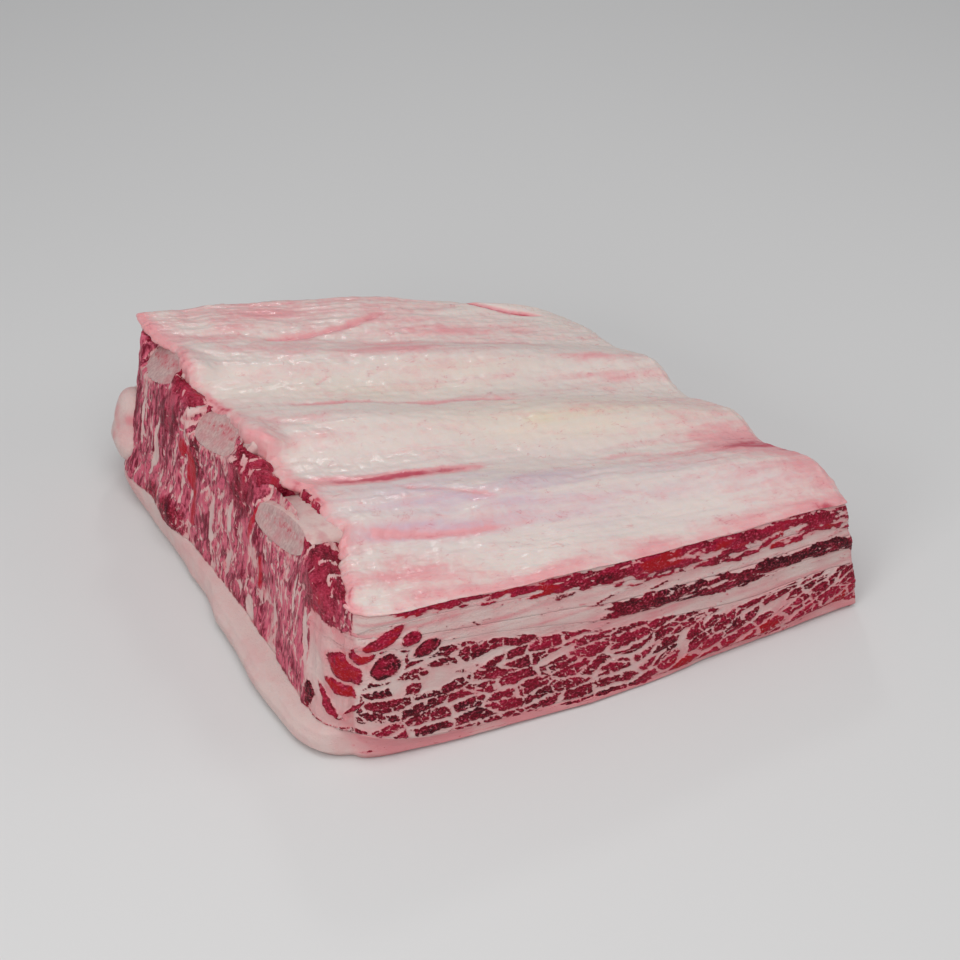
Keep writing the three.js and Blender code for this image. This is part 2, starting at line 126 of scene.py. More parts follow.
def edge_curves(s, t):
    """Points on the near, far, left and right edges of the top face."""
    arch_s, arch_t = np.sin(np.pi * s), np.sin(np.pi * t)
    near = (
        lerp(NEAR_LEFT[0], NEAR_RIGHT[0], s),
        lerp(NEAR_LEFT[1], NEAR_RIGHT[1], s) + 1.1 * np.sin(3 * np.pi * s) * arch_s,
    )
    far = (
        lerp(FAR_LEFT[0], FAR_RIGHT[0], s),
        lerp(FAR_LEFT[1], FAR_RIGHT[1], s) + 9.5 * arch_s + 2 * bump((s - 0.55) / 0.1),
    )
    rounding = np.sqrt(np.clip(arch_t, 0, 1))
    left = (
        lerp(NEAR_LEFT[0], FAR_LEFT[0], t) + 3.5 * np.sin(5.3 * t) * rounding,
        lerp(NEAR_LEFT[1], FAR_LEFT[1], t),
    )
    right_y = lerp(NEAR_RIGHT[1], FAR_RIGHT[1], t)
    phase = (right_y - RIGHT_BULGE["first"]) / RIGHT_BULGE["pitch"]
    bulge = RIGHT_BULGE["out"] * np.cos(2 * np.pi * phase) * rounding
    right = (lerp(NEAR_RIGHT[0], FAR_RIGHT[0], t) + 1.5 * arch_t + bulge, right_y)
    return near, far, left, right


def corner_share(s, t):
    return np.abs((2 * s - 1) * (2 * t - 1)) ** CORNER_SHARPNESS


def top_plan(s, t, keep_tip=False):
    """x and y of the top face; keep_tip leaves the skin's far left corner sharper."""
    near = lerp(CORNER_PULL["near_left"], CORNER_PULL["near_right"], s)
    far = lerp(CORNER_PULL["far_left"], CORNER_PULL["far_right"], s)
    kept = 0.55 * (1 - s) * t if keep_tip else 0
    pull = lerp(near, far, t) * (1 - kept) * corner_share(s, t)
    s, t = 0.5 + (s - 0.5) * (1 - pull), 0.5 + (t - 0.5) * (1 - pull)
    near, far, left, right = edge_curves(s, t)
    return [
        (1 - t) * near[i] + t * far[i] + (1 - s) * left[i] + s * right[i]
        - (1 - s) * (1 - t) * NEAR_LEFT[i] - s * (1 - t) * NEAR_RIGHT[i]
        - (1 - s) * t * FAR_LEFT[i] - s * t * FAR_RIGHT[i]
        for i in (0, 1)
    ]


def slab_height(s, t):
    near = lerp(HEIGHTS["near_left"], HEIGHTS["near_right"], s)
    return lerp(near, lerp(HEIGHTS["far_left"], HEIGHTS["far_right"], s), t)


print("height in the middle of the top, in mm:", slab_height(0.5, 0.5))

# %% The leaning sides
FLARE = {"left_near": 12, "left_far": 14, "near": 10, "right": 9, "far": 4}


def plan(s, t, z, keep_tip=False):
    """x and y at height z: the sides lean out towards the floor, mostly soon below the top."""
    x, y = top_plan(s, t, keep_tip)
    flare = np.clip(1 - z / slab_height(s, t), 0, 1) ** 0.75 * (1 - 0.55 * (1 - s) * corner_share(s, t))
    left = lerp(FLARE["left_near"], FLARE["left_far"], t) * flare * (1 - s) ** 3
    right = FLARE["right"] * flare * s**3
    near = FLARE["near"] * flare * (1 - t) ** 3
    far = FLARE["far"] * flare * t**3
    return x - left + right, y - near + far + 0.3 * right


print(f"the sawn end leans out to x = {plan(0.0, 0.5, 0.0)[0]:.1f} mm at the floor")

# %% The ribs' places and the surfaces between the layers
RIBS = [
    {"name": "bone_3", "left": 50, "right": 32, "half_width": 19},
    {"name": "bone_2", "left": 106, "right": 84, "half_width": 17},
    {"name": "bone_1", "left": 161, "right": 133, "half_width": 15.5},
]
NEAR_FACE = {
    "cover": [2.6, 1.8, 1.6, 2.2, 1.2],
    "intercostal": [4.5, 4.5, 8.5, 8.5, 8.5],
    "upper_seam": [5, 8, 7.5, 7.5, 6],
    "thin_muscle": [4, 4, 7, 6, 6],
    "lower_seam": [5, 4.6, 4.6, 8, 7],
    "cap": [14, 5.5, 3.5, 4, 9],
}
LEFT_FACE = {"upper_seam": 1.1, "thin_muscle": 5, "lower_seam": 1.1, "cap": 13}
INSIDE = {"upper_seam": 4, "thin_muscle": 5, "lower_seam": 4, "cap": 7}
INTERCOSTAL_DEPTH = 16.5
COVER_THICK = 3.3
RIDGE_HEIGHT = 2.1


def rib_middle(rib, s):
    return lerp(rib["left"], rib["right"], s)


def top_surface(s, t):
    x, y = top_plan(s, t)
    first = rib_middle(RIBS[0], s)
    pitch = (rib_middle(RIBS[2], s) - first) / 2
    ridge = RIDGE_HEIGHT * np.cos(2 * np.pi * np.clip((y - first) / pitch, -0.5, 2.3))
    dips = lerp(2.2, 0.8, s) * bump(t / 0.05) + 0.8 * bump((1 - t) / 0.05) + 1.2 * bump((1 - s) / 0.05)
    return slab_height(s, t) + ridge + 0.8 * uneven(x, y, 0.4) - dips


def layer_thick(name, s, t):
    edge = np.minimum(t, 1 - t)
    inner = lerp(along(NEAR_FACE[name], s), INSIDE[name], smooth(edge / 0.2))
    return lerp(LEFT_FACE[name], inner, smooth(s / 0.14 + 0.25 * (1 - smooth(edge / 0.06))))


def layer_surfaces(s, t):
    """The eight heights at (s, t), from the top face down to the floor."""
    edge = np.minimum(t, 1 - t)
    top = top_surface(s, t)
    cover = top - lerp(along(NEAR_FACE["cover"], s), COVER_THICK, smooth(edge / 0.06))
    reach = np.maximum(smooth((edge - 0.005) / 0.075), 1 - smooth(s / 0.08 + 0.2))
    level = lerp(cover - along(NEAR_FACE["intercostal"], s), slab_height(s, t) - INTERCOSTAL_DEPTH, reach)
    heights = [top, cover, level + 0.6 * uneven(SLAB_LENGTH * s, SLAB_WIDTH * t, 1.7) * smooth(edge / 0.1)]
    for name in ("upper_seam", "thin_muscle", "lower_seam"):
        heights.append(heights[-1] - layer_thick(name, s, t))
    heights.append(layer_thick("cap", s, t) + 0.7 * uneven(SLAB_LENGTH * s, SLAB_WIDTH * t, 2.9))
    heights.append(0 * top)
    return np.array(heights)


print("layers in the middle, in mm:", layer_surfaces(np.float64(0.5), np.float64(0.5)).round(1))

# %% [markdown]
# ## Grain and marbling as fields
# Marbling is a net of fat round islands of muscle. A picture could paint it, but then the relief would not
# follow. Here a field of cells gives every point its distance to the nearest fat line. The same number
# raises the meat, sinks the fat, and later mixes the two colours, so shape and colour always agree.

# %% Noise and cells over any two coordinates
def scatter_hash(i, j, seed):
    """A repeatable number from 0 to 1 for each whole place (i, j)."""
    mixed = np.sin(i * 127.1 + j * 311.7 + seed * 74.7) * 43758.5453
    return mixed - np.floor(mixed)


def soft_noise(a, b, seed, octaves=3):
    """Smooth noise from about -1 to 1, finer octaves fading."""
    total, weight, size = 0, 0, 1.0
    for octave in range(octaves):
        i, j = np.floor(a), np.floor(b)
        u, v = smooth(a - i), smooth(b - j)
        corner = [scatter_hash(i + p, j + q, seed + octave) for p in (0, 1) for q in (0, 1)]
        value = lerp(lerp(corner[0], corner[1], v), lerp(corner[2], corner[3], v), u)
        total, weight = total + size * (2 * value - 1), weight + size
        a, b, size = 2.03 * a + 11.3, 2.03 * b + 5.7, size / 2
    return total / weight


def noise_over(a, b, seed):
    """Noise over a face, by the lengths of its waves in a and b and a number for each use."""
    def noise(length, height, number=0, octaves=3):
        return soft_noise(a / length, b / height, seed + number, octaves)

    return noise


def cells(a, b, size, seed, jitter=(0.85, 0.6)):
    """Millimetres to the line between the two nearest cell middles, and a number from 0 to 1 for the cell."""
    a, b = a / size[0], b / size[1]
    i0, j0 = np.floor(a), np.floor(b)
    nearest, near_a, near_b = np.full(a.shape, 9.0), np.zeros(a.shape), np.zeros(a.shape)
    middles = []
    for di in (-1, 0, 1):
        for dj in (-1, 0, 1):
            i, j = i0 + di, j0 + dj
            ca = i + 0.5 + jitter[0] * (scatter_hash(i, j, seed) - 0.5)
            cb = j + 0.5 + jitter[1] * (scatter_hash(i, j, seed + 0.37) - 0.5)
            middles.append((ca, cb))
            distance = np.hypot(ca - a, cb - b)
            closer = distance < nearest
            nearest = np.where(closer, distance, nearest)
            near_a, near_b = np.where(closer, ca, near_a), np.where(closer, cb, near_b)
    line = np.full(a.shape, 9.0)
    for ca, cb in middles:
        da, db = ca - near_a, cb - near_b
        half = ((near_a + ca) / 2 - a) * da + ((near_b + cb) / 2 - b) * db
        steep = np.hypot(da / size[0], db / size[1])
        line = np.where(steep > 1e-6, np.minimum(line, half / np.maximum(steep, 1e-6)), line)
    return line, scatter_hash(near_a, near_b, seed + 0.71)


print("noise and cells ready")

# %% [markdown]
# ## The rim
# Every layer below the skin shows only at its side, so the fine mesh is a band round the rim. The rim is
# one closed walk: near edge, thin end, far edge, sawn end. Steps are half a millimetre where the photo
# looks, and wider behind.

# %% Walk round the rim
RIM_STEPS = {"near": 420, "right": 240, "far": 250, "left": 420}


def rim_walk():
    """(s, t) round the rim, anticlockwise from above, denser near each corner."""
    places = []
    for side, count in RIM_STEPS.items():
        u = np.arange(count) / count
        u = u - 0.35 * np.sin(2 * np.pi * u) / (2 * np.pi)
        places.append({"near": (u, 0 * u), "right": (0 * u + 1, u), "far": (1 - u, 0 * u + 1),
                       "left": (0 * u, 1 - u)}[side])
    return [np.concatenate([place[i] for place in places]) for i in (0, 1)]


def loop_normals(x, y):
    """Outward direction at each point of a closed anticlockwise outline."""
    dx = np.roll(x, -2) - np.roll(x, 2)
    dy = np.roll(y, -2) - np.roll(y, 2)
    for _ in range(4):
        dx = (np.roll(dx, 1) + dx + np.roll(dx, -1)) / 3
        dy = (np.roll(dy, 1) + dy + np.roll(dy, -1)) / 3
    size = np.hypot(dx, dy)
    return dy / size, -dx / size


rim_s, rim_t = rim_walk()
rim_x, rim_y = top_plan(rim_s, rim_t)
rim_out = loop_normals(rim_x, rim_y)
rim_length = np.concatenate([[0], np.cumsum(np.hypot(np.diff(rim_x), np.diff(rim_y)))])
rim_heights = layer_surfaces(rim_s, rim_t)
print(f"rim of {len(rim_s)} places, {rim_length[-1]:.0f} mm round")

# %% Which side of the slab a rim place belongs to
SIDE_ENDS = np.cumsum([0] + list(RIM_STEPS.values()))
side_length = [rim_length[min(end, len(rim_length) - 1)] for end in SIDE_ENDS]
around = side_length[-1] + 0.5


def side_weight(index, fade=3.0):
    """1 on the side with this index, 0 on the others, with a soft change at its two corners."""
    start, end = side_length[index], side_length[index + 1]
    middle, half = (start + end) / 2, (end - start) / 2
    away = np.abs((rim_length - middle + around / 2) % around - around / 2)
    return smooth((half - away + fade) / (2 * fade))


on_near, on_right, on_far, on_left = (side_weight(i) for i in range(4))
print("side lengths in mm:", np.diff(side_length).round())

# %% The sawn section of each rib
RIB_HALF_THICK = (6.0, 5.4)
RIB_DEPTH = (6.6, 8.4)
RIB_TILT = 0.13
RIB_POWER = 2.5
# Over the last one or two centimetres before the saw a rib grows wider and more tilted. Bone 3 also sinks,
# and the other two rise a little.
SPREAD = {"width": 4.0, "tilt": 0.12}
SPREAD_REACH = {"bone_3": 0.1, "bone_2": 0.06, "bone_1": 0.06}
SPREAD_DOWN = {"bone_3": 2.6, "bone_2": -1.0, "bone_1": -0.3}


def rib_section(rib, s):
    """Middle y and z, half width, half thickness and tilt of one rib at s."""
    spread = 1 - smooth(s / SPREAD_REACH[rib["name"]])
    y = rib_middle(rib, s) + (2.5 if rib["name"] != "bone_3" else 0) * spread
    t = (y - NEAR_LEFT[1]) / (FAR_LEFT[1] - NEAR_LEFT[1])
    z = slab_height(s, t) - lerp(*RIB_DEPTH, s) - SPREAD_DOWN[rib["name"]] * spread
    width = rib["half_width"] * lerp(1, 0.8, s) * (1 - 0.1 * np.sin(np.pi * s)) + SPREAD["width"] * spread
    return y, z, width, lerp(*RIB_HALF_THICK, s), RIB_TILT * (1 - s) ** 2 + SPREAD["tilt"] * spread


# How far the top of each sawn end slants back, in millimetres.
RIB_SLANT = {"bone_3": 3.0, "bone_2": 10.0, "bone_1": 10.0}


def rib_hollow(y, z):
    """How far the meat stands back from the sawn face where a rib comes through it, in millimetres."""
    hollow = 0 * y
    for rib in RIBS:
        my, mz, width, thick, tilt = rib_section(rib, 0.0)
        a = np.abs((y - my) * np.cos(tilt) - (z - mz) * np.sin(tilt)) / width
        b = ((y - my) * np.sin(tilt) + (z - mz) * np.cos(tilt)) / thick
        share = (a**RIB_POWER + np.abs(b) ** RIB_POWER) ** (1 / RIB_POWER)
        share = np.where(b > 0, lerp(share, a, smooth(b)), share)
        back = 1.2 + RIB_SLANT[rib["name"]] * np.clip((b + 1) / 2, 0, 1)
        hollow = np.maximum(hollow, back * (1 - smooth((share - 0.78) / 0.2)))
    return hollow


def rib_nearness(y, z, s):
    """Below 1 inside a rib's section at s, 1 on its outline, more outside."""
    least = np.full(np.broadcast(y, z).shape, 9.0)
    for rib in RIBS:
        my, mz, width, thick, tilt = rib_section(rib, s)
        a = (y - my) * np.cos(tilt) - (z - mz) * np.sin(tilt)
        b = (y - my) * np.sin(tilt) + (z - mz) * np.cos(tilt)
        share = (np.abs(a / width) ** RIB_POWER + np.abs(b / thick) ** RIB_POWER) ** (1 / RIB_POWER)
        least = np.minimum(least, share)
    return least


print("rib widths at the saw in mm:", [round(float(2 * rib_section(rib, 0.0)[2]), 1) for rib in RIBS])

# %% [markdown]
# ## What each cut face shows
# The near face is cut across the muscle fibres, so it shows islands; the sawn end is cut where the fibres
# run down, so it shows strands. Both are fields of "fat" from 0 to 1, with the change at 0.5, and of
# "tone" from dark to bright meat. Spots that the eye looks for, such as the round red muscles at the near
# corner, are named blobs on top of the rule.

# %% Blobs on a face
def blob(a, b, at, size, turn=0.0, ragged=0.25, seed=3):
    """Above 0 inside an uneven oval, 1 at its middle."""
    angle = math.radians(turn)
    da, db = a - at[0], b - at[1]
    along_blob = (da * math.cos(angle) + db * math.sin(angle)) / size[0]
    across = (db * math.cos(angle) - da * math.sin(angle)) / size[1]
    return 1 - np.hypot(along_blob, across) + ragged * soft_noise(a / 3, b / 3, seed)


def layer_place(z, heights):
    """The layer number at height z: 0 to 7 from the top down."""
    thick = np.maximum(heights[:-1] - heights[1:], 0.01)
    return sum(np.clip((heights[k] - z) / thick[k], 0, 1) for k in range(7))


# %% Named marks on the near face
# The layer number where the marbled muscle starts, at places along the face.
MAIN_TOP = [4.15, 4.4, 4.9, 5.0, 5.0]
# Sizes of an island of muscle and of a clump inside it, along the face and up it.
ISLAND = (13.0, 5.4)
CLUMP = (3.6, 2.7)
# Rows of islands climb more steeply from the first of these on. The thin muscle shows from the second.
LEAN_FROM = 108.0
THIN_MUSCLE_FROM = 88.0
# Marks are ovals: middle, half sizes, turn in degrees.
WHITE_PATCHES = [
    ((32, 32), (9, 5.5), 25), ((17.5, 32), (4, 4), 0), ((50, 33.5), (12, 2.4), 12),
    ((76, 27), (9, 1.8), 10), ((125, 13), (3.0, 8), -8), ((165, 15.5), (8, 3.0), 14),
    ((189, 24), (5, 4.5), 0), ((143, 21), (10, 1.6), 8), ((6, 17), (7, 2.0), -10), ((1, 34), (3, 16), 0),
]
# The bright round muscles at the near corner, each with its tone. Below 0 is round the corner.
RED_MUSCLES = [
    ((-3, 40), (7.6, 5.6), -22, 0.95), ((-4.5, 31), (6.6, 2.6), -12, 1.05),
    ((4, 46.8), (5.0, 3.4), 25, 0.85), ((11.5, 52.4), (8.4, 2.7), 26, 0.95),
    ((12.7, 41.6), (5.6, 4.4), 40, 0.45), ((27, 45.4), (5, 2.8), 22, 0.5),
    ((-9, 22.5), (8.2, 1.7), -42, 0.8), ((1.3, 23.9), (5.8, 0.9), 44, 0.8),
    ((21.5, 50.5), (3.2, 2.4), 10, 0.6),
]


print(len(WHITE_PATCHES), "white patches and", len(RED_MUSCLES), "red muscles")


# %% The near and far faces: islands of meat in a net of fat
def cut_face(u, z, heights, s, seed):
    """Fat and tone on a face cut across the fibres; u runs along it from the sawn end."""
    noise = noise_over(u, z, seed)
    shake_u = 0.65 * noise(1.9, 1.6, 1)
    shake_z = 0.6 * noise(2.0, 1.5, 3)
    wavy_u = u + 1.5 * noise(5.5, 4, 2) + shake_u
    wavy_z = z + 0.9 * noise(6.5, 3.2) + shake_z
    roll = (1.2 + 1.0 * smooth((u - 80) / 30)) * noise(21, 14, 21)
    roll = roll + 1.0 * noise(8, 6, 12)
    v = layer_place(z + roll + 1.3 * shake_z, heights)
    main_top = along(MAIN_TOP, s)
    # Thick fat lines round islands that lie in rows, and thin broken ones inside them.
    lean = 0.05 * u + 0.34 * np.maximum(u - LEAN_FROM, 0) * smooth((36 - z) / 18)
    line, island = cells(wavy_u + 0.3 * wavy_z, wavy_z - lean, ISLAND, seed + 3, (0.85, 0.5))
    clump_line, clump = cells(wavy_u + 0.4 * wavy_z, wavy_z - lean, CLUMP, seed + 4)
    width = 0.34 + 0.9 * np.clip(noise(12, 6, 5) + 0.25, 0, 1)
    for number, (at, size, turn) in enumerate(WHITE_PATCHES):
        width = width + 4.5 * np.clip(blob(u, z, at, size, turn, 0.3, seed + number), 0, 1)
    thick_fat = 0.5 + (width - line) / 2.0
    broken = np.clip(0.3 + 1.6 * noise(6, 4, 13), 0, 1.3)
    thin_fat = 0.5 + (0.30 * broken - clump_line) / 1.5
    main = np.maximum(thick_fat, thin_fat) + 0.26 * noise(1.3, 1.1, 14, 2)
    # The dark band under the skin, broken up towards the sawn end.
    streak = soft_noise(u / 13 - z / 5, z / 1.7, seed + 6)
    shred = soft_noise(wavy_u / 4.5, wavy_z / 1.6, seed + 7)
    vein = np.clip(1 - np.abs(soft_noise(u / 11 + z / 4, z / 3.2, seed + 22, 2)) / 0.10, 0, 1)
    band = 0.20 + 0.46 * streak + 0.75 * smooth((26 - u) / 16) + 0.40 * shred + 0.42 * vein
    band = band + 0.45 * smooth((v - 1.4) / 0.4) * smooth(0.5 + shred)
    thin = 0.24 + 0.62 * streak + 0.8 * smooth((THIN_MUSCLE_FROM + 14 - u) / 26) + 0.46 * shred + 0.45 * vein
    layered = np.abs(noise(26, 1.3, 9, 2))
    seam = 0.90 - 0.46 * np.clip(1 - layered / 0.09, 0, 1) * smooth(0.6 + 2 * shred)
    seam = seam - 0.36 * smooth(2.6 * shred - 1.2)
    feather = smooth(3.2 * soft_noise(u / 10 - z / 2.5, z / 2.6, seed + 23, 2) - 0.9)
    seam = seam - (
        0.62 * feather * bump((u - 105) / 45) * smooth((v - 1.9) / 0.1) * (1 - smooth((v - 3.1) / 0.2))
    )
    # Which layer each place is in, by layer number.
    band_foot = 1.97 + 0.38 * smooth((u - 70) / 60)
    in_band = smooth((v - 0.97) / 0.06) * (1 - smooth((v - band_foot) / 0.12))
    in_thin = smooth((v - 2.95) / 0.1) * (1 - smooth((v - 3.95) / 0.1))
    main_foot = 5.97 + (0.42 + 0.2 * noise(9, 30, 24)) * smooth((u - 45) / 50)
    in_main = smooth((v - main_top + 0.05) / 0.08) * (1 - smooth((v - main_foot) / 0.05))
    fat = lerp(seam, np.clip(band, 0, 1), in_band)
    fat = lerp(fat, np.clip(thin, 0, 1), in_thin * (1 - in_main))
    fat = lerp(fat, np.clip(main, 0, 1), in_main)
    # Red streaks low on the cap, towards the thin end.
    low = smooth((v - 6.0) / 0.2) * smooth((u - 60) / 60)
    fat = fat - low * 0.62 * np.clip(noise(17, 1.5, 10) + 0.15, 0, 1)
    tone = 0.30 + 0.22 * island + 0.18 * clump + 0.3 * noise(14, 7, 11)
    tone = tone - 0.2 * in_thin * (1 - in_main)
    tone = tone + in_band * (0.22 + 0.35 * noise(8, 2.5, 15))
    tone = tone + 0.3 * smooth((v - 5.4) / 0.5) * smooth((u - 90) / 40) - 0.12 * smooth((60 - u) / 40)
    tone = lerp(tone, 0.75 + 0.5 * noise(14, 3, 18), smooth((v - main_foot - 0.03) / 0.1))
    seam_tone = 0.5 + 0.5 * noise(30, 1.6, 19)
    tone = lerp(tone, seam_tone, smooth((fat - 0.5) / 0.2) * (v < main_top))
    return fat, tone


# %% The round muscles at the near corner
def corner_muscles(u, z, v, fat, tone, seed):
    """Soft pink fat round the near corner, with the bright round muscles in it, each with painted shade at
    its rim.
    """
    noise = noise_over(u, z, seed)
    below_top = 56 - z + 3 * noise(4, 4)
    zone = smooth((u + 24) / 3) * smooth((3 - u) / 4) * smooth(below_top / 4)
    strip = np.clip(2 * blob(u, z, (-20, 19), (3.6, 8), -8, 0.5, seed + 30), 0, 1)
    fat = lerp(fat, 0.86 - 0.75 * strip, zone * (v < 5.98))
    tone = lerp(tone, 0.55 + 0.5 * noise(9, 9, 31) - 0.4 * strip, zone * (v < 5.98))
    shake = 0.5 * noise(2, 2, 32)
    wavy_u = u + 1.2 * noise(6, 5, 33)
    wavy_z = z + shake + 0.8 * noise(6, 4, 34)
    for number, (at, size, turn, bright) in enumerate(RED_MUSCLES):
        inside = blob(wavy_u, wavy_z, at, size, turn, 0.10, seed + number)
        halo = inside > -0.35
        fat = np.where(halo, np.clip(0.5 - 1.3 * inside, 0.06, 0.9), fat)
        crumbs = smooth(3 * noise(2.2, 1.7, 35) - (1.2 if bright < 0.7 else 1.9))
        fat = fat + 0.6 * crumbs * (inside > 0.1)
        # Each muscle is darker towards its rim: painted shade for the curve of its bulge, over its own bright
        # red.
        deep = bright + 0.5 * noise(3, 2, 36) - 0.35 * (1 - smooth(inside / 0.4))
        tone = np.where(inside > 0, deep, tone)
    return fat, tone, zone


# %% Named marks on the sawn end
# Size of a bundle of fibres, across the face and up it.
BUNDLE = (14.0, 32.0)
PALE_STREAKS = [
    ((166, 45), (1.6, 12), -4), ((151.5, 36), (2.0, 14), 4), ((100, 33), (1.6, 13), -6),
    ((88, 45), (1.2, 10), 4), ((86, 24), (2.4, 6), 0), ((66, 17), (3.6, 5), 10), ((47, 12), (4.5, 4), 0),
    ((30, 50), (1.2, 10), 4), ((17, 38), (1.5, 15), -10), ((118, 40), (1.0, 11), 12),
    ((48, 30), (1.2, 9), 0),
]
DARK_SPOTS = [
    ((130, 18), (11, 9), 0), ((148, 15), (9, 8), 0), ((118, 52), (5, 10), -10), ((81, 64), (9, 9), 0),
    ((80, 54), (4, 9), 10), ((11, 62), (13, 10), -8), ((176, 45), (4, 16), 0), ((104, 30), (4, 9), 0),
    ((65, 48), (6, 8), 0), ((147, 58), (3, 9), 0), ((138, 60), (3, 8), 0), ((24, 22), (5, 8), 0),
    ((61, 22), (5, 3), 20),
]
BLOOD_SPOTS = [
    ((121, 44), (4.4, 11), -10), ((128, 51), (3.0, 4.5), 0), ((116, 30), (2.6, 10), 5),
    ((62, 36), (1.3, 8), 0), ((71, 52), (1.4, 7), 10),
]


print(len(PALE_STREAKS), "streaks,", len(DARK_SPOTS), "dark spots,", len(BLOOD_SPOTS), "blood spots")


# %% The sawn end and the thin end: strands running down
def plug_share(y, z):
    """1 in the dark meat between two ribs, 0 beside and under a rib."""
    near_rib = rib_nearness(y, z, 0.0)
    gap = np.maximum(bump((y - 9) / 15), np.maximum(bump((y - 82) / 9), 0.6 * bump((y - 141) / 7)))
    return gap * smooth((near_rib - 1.02) / 0.12)


def strand_face(y, z, seed):
    """Fat, tone, blood and dark meat on a face cut along the fibres; y runs along it from the near corner."""
    noise = noise_over(y, z, seed)
    sway = 3.2 * noise(22, 18) + 1.5 * noise(7, 8, 1)
    a = y + sway
    line, bundle = cells(a, z + 8 + 6 * soft_noise(y / 9, 0 * z, seed), BUNDLE, seed + 3)
    thread = soft_noise(a / 1.7, z / 8, seed + 2, 2)
    fine = soft_noise(a / 1.1, z / 3.6, seed + 4, 2)
    broad = soft_noise(a / 8, z / 14, seed + 5)
    fat = 0.35 + 0.30 * np.clip(1 - np.abs(thread + 0.1) / 0.17, 0, 1) + 0.22 * broad + 0.22 * fine
    fat = np.maximum(fat, 0.5 + (0.28 + 0.6 * broad + 0.5 * fine - line) / 1.8)
    tone = 0.80 + 0.55 * fine + 0.2 * (bundle - 0.5) + 0.3 * broad
    for number, (at, size, turn) in enumerate(PALE_STREAKS):
        fat = np.maximum(fat, 0.5 + 0.9 * blob(a, z, at, size, turn, 0.4, seed + number))
    for number, (at, size, turn) in enumerate(DARK_SPOTS):
        inside = np.clip(blob(y, z, at, size, turn, 0.35, seed + 20 + number), 0, 0.5) / 0.5
        fat, tone = fat - 0.22 * inside, tone - 0.42 * inside
    blood, dark = 0 * y, 0 * y
    for number, (at, size, turn) in enumerate(DARK_SPOTS[:3]):
        dark = np.maximum(dark, np.clip(2.5 * blob(y, z, at, size, turn, 0.35, seed + 20 + number), 0, 1))
    for number, (at, size, turn) in enumerate(BLOOD_SPOTS):
        inside = np.clip(4 * blob(y, z, at, size, turn, 0.4, seed + 40 + number), 0, 1)
        blood, fat = np.maximum(blood, inside), fat - 0.8 * inside
    tone = lerp(tone, 0.3 + 0.3 * broad, smooth((fat - 0.46) / 0.08))
    return fat, tone, blood, dark


def sawn_face(y, z, heights, seed):
    """The sawn end: strands, with dark plugs between the ribs and pale tissue round them."""
    noise = noise_over(y, z, seed)
    fat, tone, blood, dark = strand_face(y, z, seed)
    plug = plug_share(y, z) * smooth((z - 48) / 8)
    crumbs = noise(1.7, 1.9, 8, 2)
    fat = lerp(fat, 0.20 + 0.42 * smooth(2.6 * crumbs - 0.5), plug)
    tone = lerp(tone, 0.62 + 0.5 * noise(3, 4, 9), plug)
    dark = np.maximum(dark, plug)
    by_rib = bump((rib_nearness(y, z, 0.0) - 1.08) / 0.10) * (1 - plug)
    fat = fat + 0.25 * by_rib * (0.6 + 0.8 * noise(5, 4, 10))
    v = layer_place(z + 1.0 * noise(6, 9, 6) + 0.4 * crumbs, heights)
    in_cap = smooth((v - 5.98) / 0.04)
    tone = lerp(tone, 0.32 + 0.4 * noise(12, 5, 11), in_cap)
    fat = lerp(fat, 0.85 + 0.12 * noise(20, 5, 7), in_cap)
    return np.clip(fat, 0, 1), tone, blood, dark


print("face fields ready")

# %% [markdown]
# ## The band round the rim
# The band's points come from rim place and layer number. Relief pushes them outwards: muscles bulge between
# their seams, every island of meat stands a little over its fat, the sawn end is lumpy, and the fat cap
# swells into a lip. One function makes all the layers' bands, so two neighbours share their edge exactly.

# %% Lips, lumps and bulges
# How far the cap stands out past the muscle above it: by y along the sawn end, by x along the near face.
LIP_LEFT = ([-13, -5, 12, 46, 80, 97, 131, 149, 200], [0.6, 2.0, 6.0, 8.5, 7.0, 3.0, 0.3, 0.0, 0.8])
LIP_NEAR = ([-8, 12, 30, 60, 100, 150, 205], [-0.6, -2.2, -2.6, -0.8, 0.6, -1.2, -1.8])
LIP_ELSEWHERE = 1.5
FOOT_INSET = 2.6
MEAT_RELIEF = 0.55
# Lumps of the sawn end: middle, half sizes, how far out.
LUMPS = [
    ((134, 20), (11, 10), 3.6), ((174, 12), (16, 9), 4.5), ((122, 33), (6, 14), -2.2),
    ((170, 30), (12, 16), 1.6), ((60, 30), (14, 12), -1.6), ((92, 72), (5, 6), 3.0),
    ((70, 62), (8, 12), -1.4), ((14, 64), (7, 9), 1.6), ((30, 34), (14, 16), 0.9),
]


def lip_reach():
    share = np.array([side_weight(side, 10) for side in range(4)])
    share = share / share.sum(0)
    left = np.interp(lerp(NEAR_LEFT[1], FAR_LEFT[1], rim_t), *LIP_LEFT)
    near = np.interp(lerp(NEAR_LEFT[0], NEAR_RIGHT[0], rim_s), *LIP_NEAR)
    return near * share[0] + LIP_ELSEWHERE * (share[1] + share[2]) + left * share[3]


# How far the middle of each layer's band stands out, and how the cap's lip swells from its top to the floor.
LAYER_BULGE = [0.2, 0.6, -0.3, 0.5, -0.2, 0.5, 0.0]
LIP_PROFILE = [0, 0.8, 1, 0.95, 0.7]
# Each face's noise starts elsewhere, and the hidden faces use other stretches of the same rules.
FACE_SEED = {"near": 5, "far": 25, "left": 45, "right": 65, "corner": 105}
FAR_SHIFT = 31
RIGHT_STRETCH, RIGHT_SHIFT = 1.1, 211
CORNER_SMOOTHING = 20
print("lip round the rim in mm:", lip_reach().min().round(1), "to", lip_reach().max().round(1))


# %% Places and fields of the band
def rounded(places, share):
    """Averages places along the rim, by a share of each: this takes the edge off a corner."""
    half = CORNER_SMOOTHING
    weights = np.bartlett(2 * half + 1) / half
    wrapped = np.concatenate([places[:, -half:], places, places[:, :half]], 1)
    averages = np.stack([np.convolve(row, weights, "valid") for row in wrapped])
    return lerp(places, averages, share)


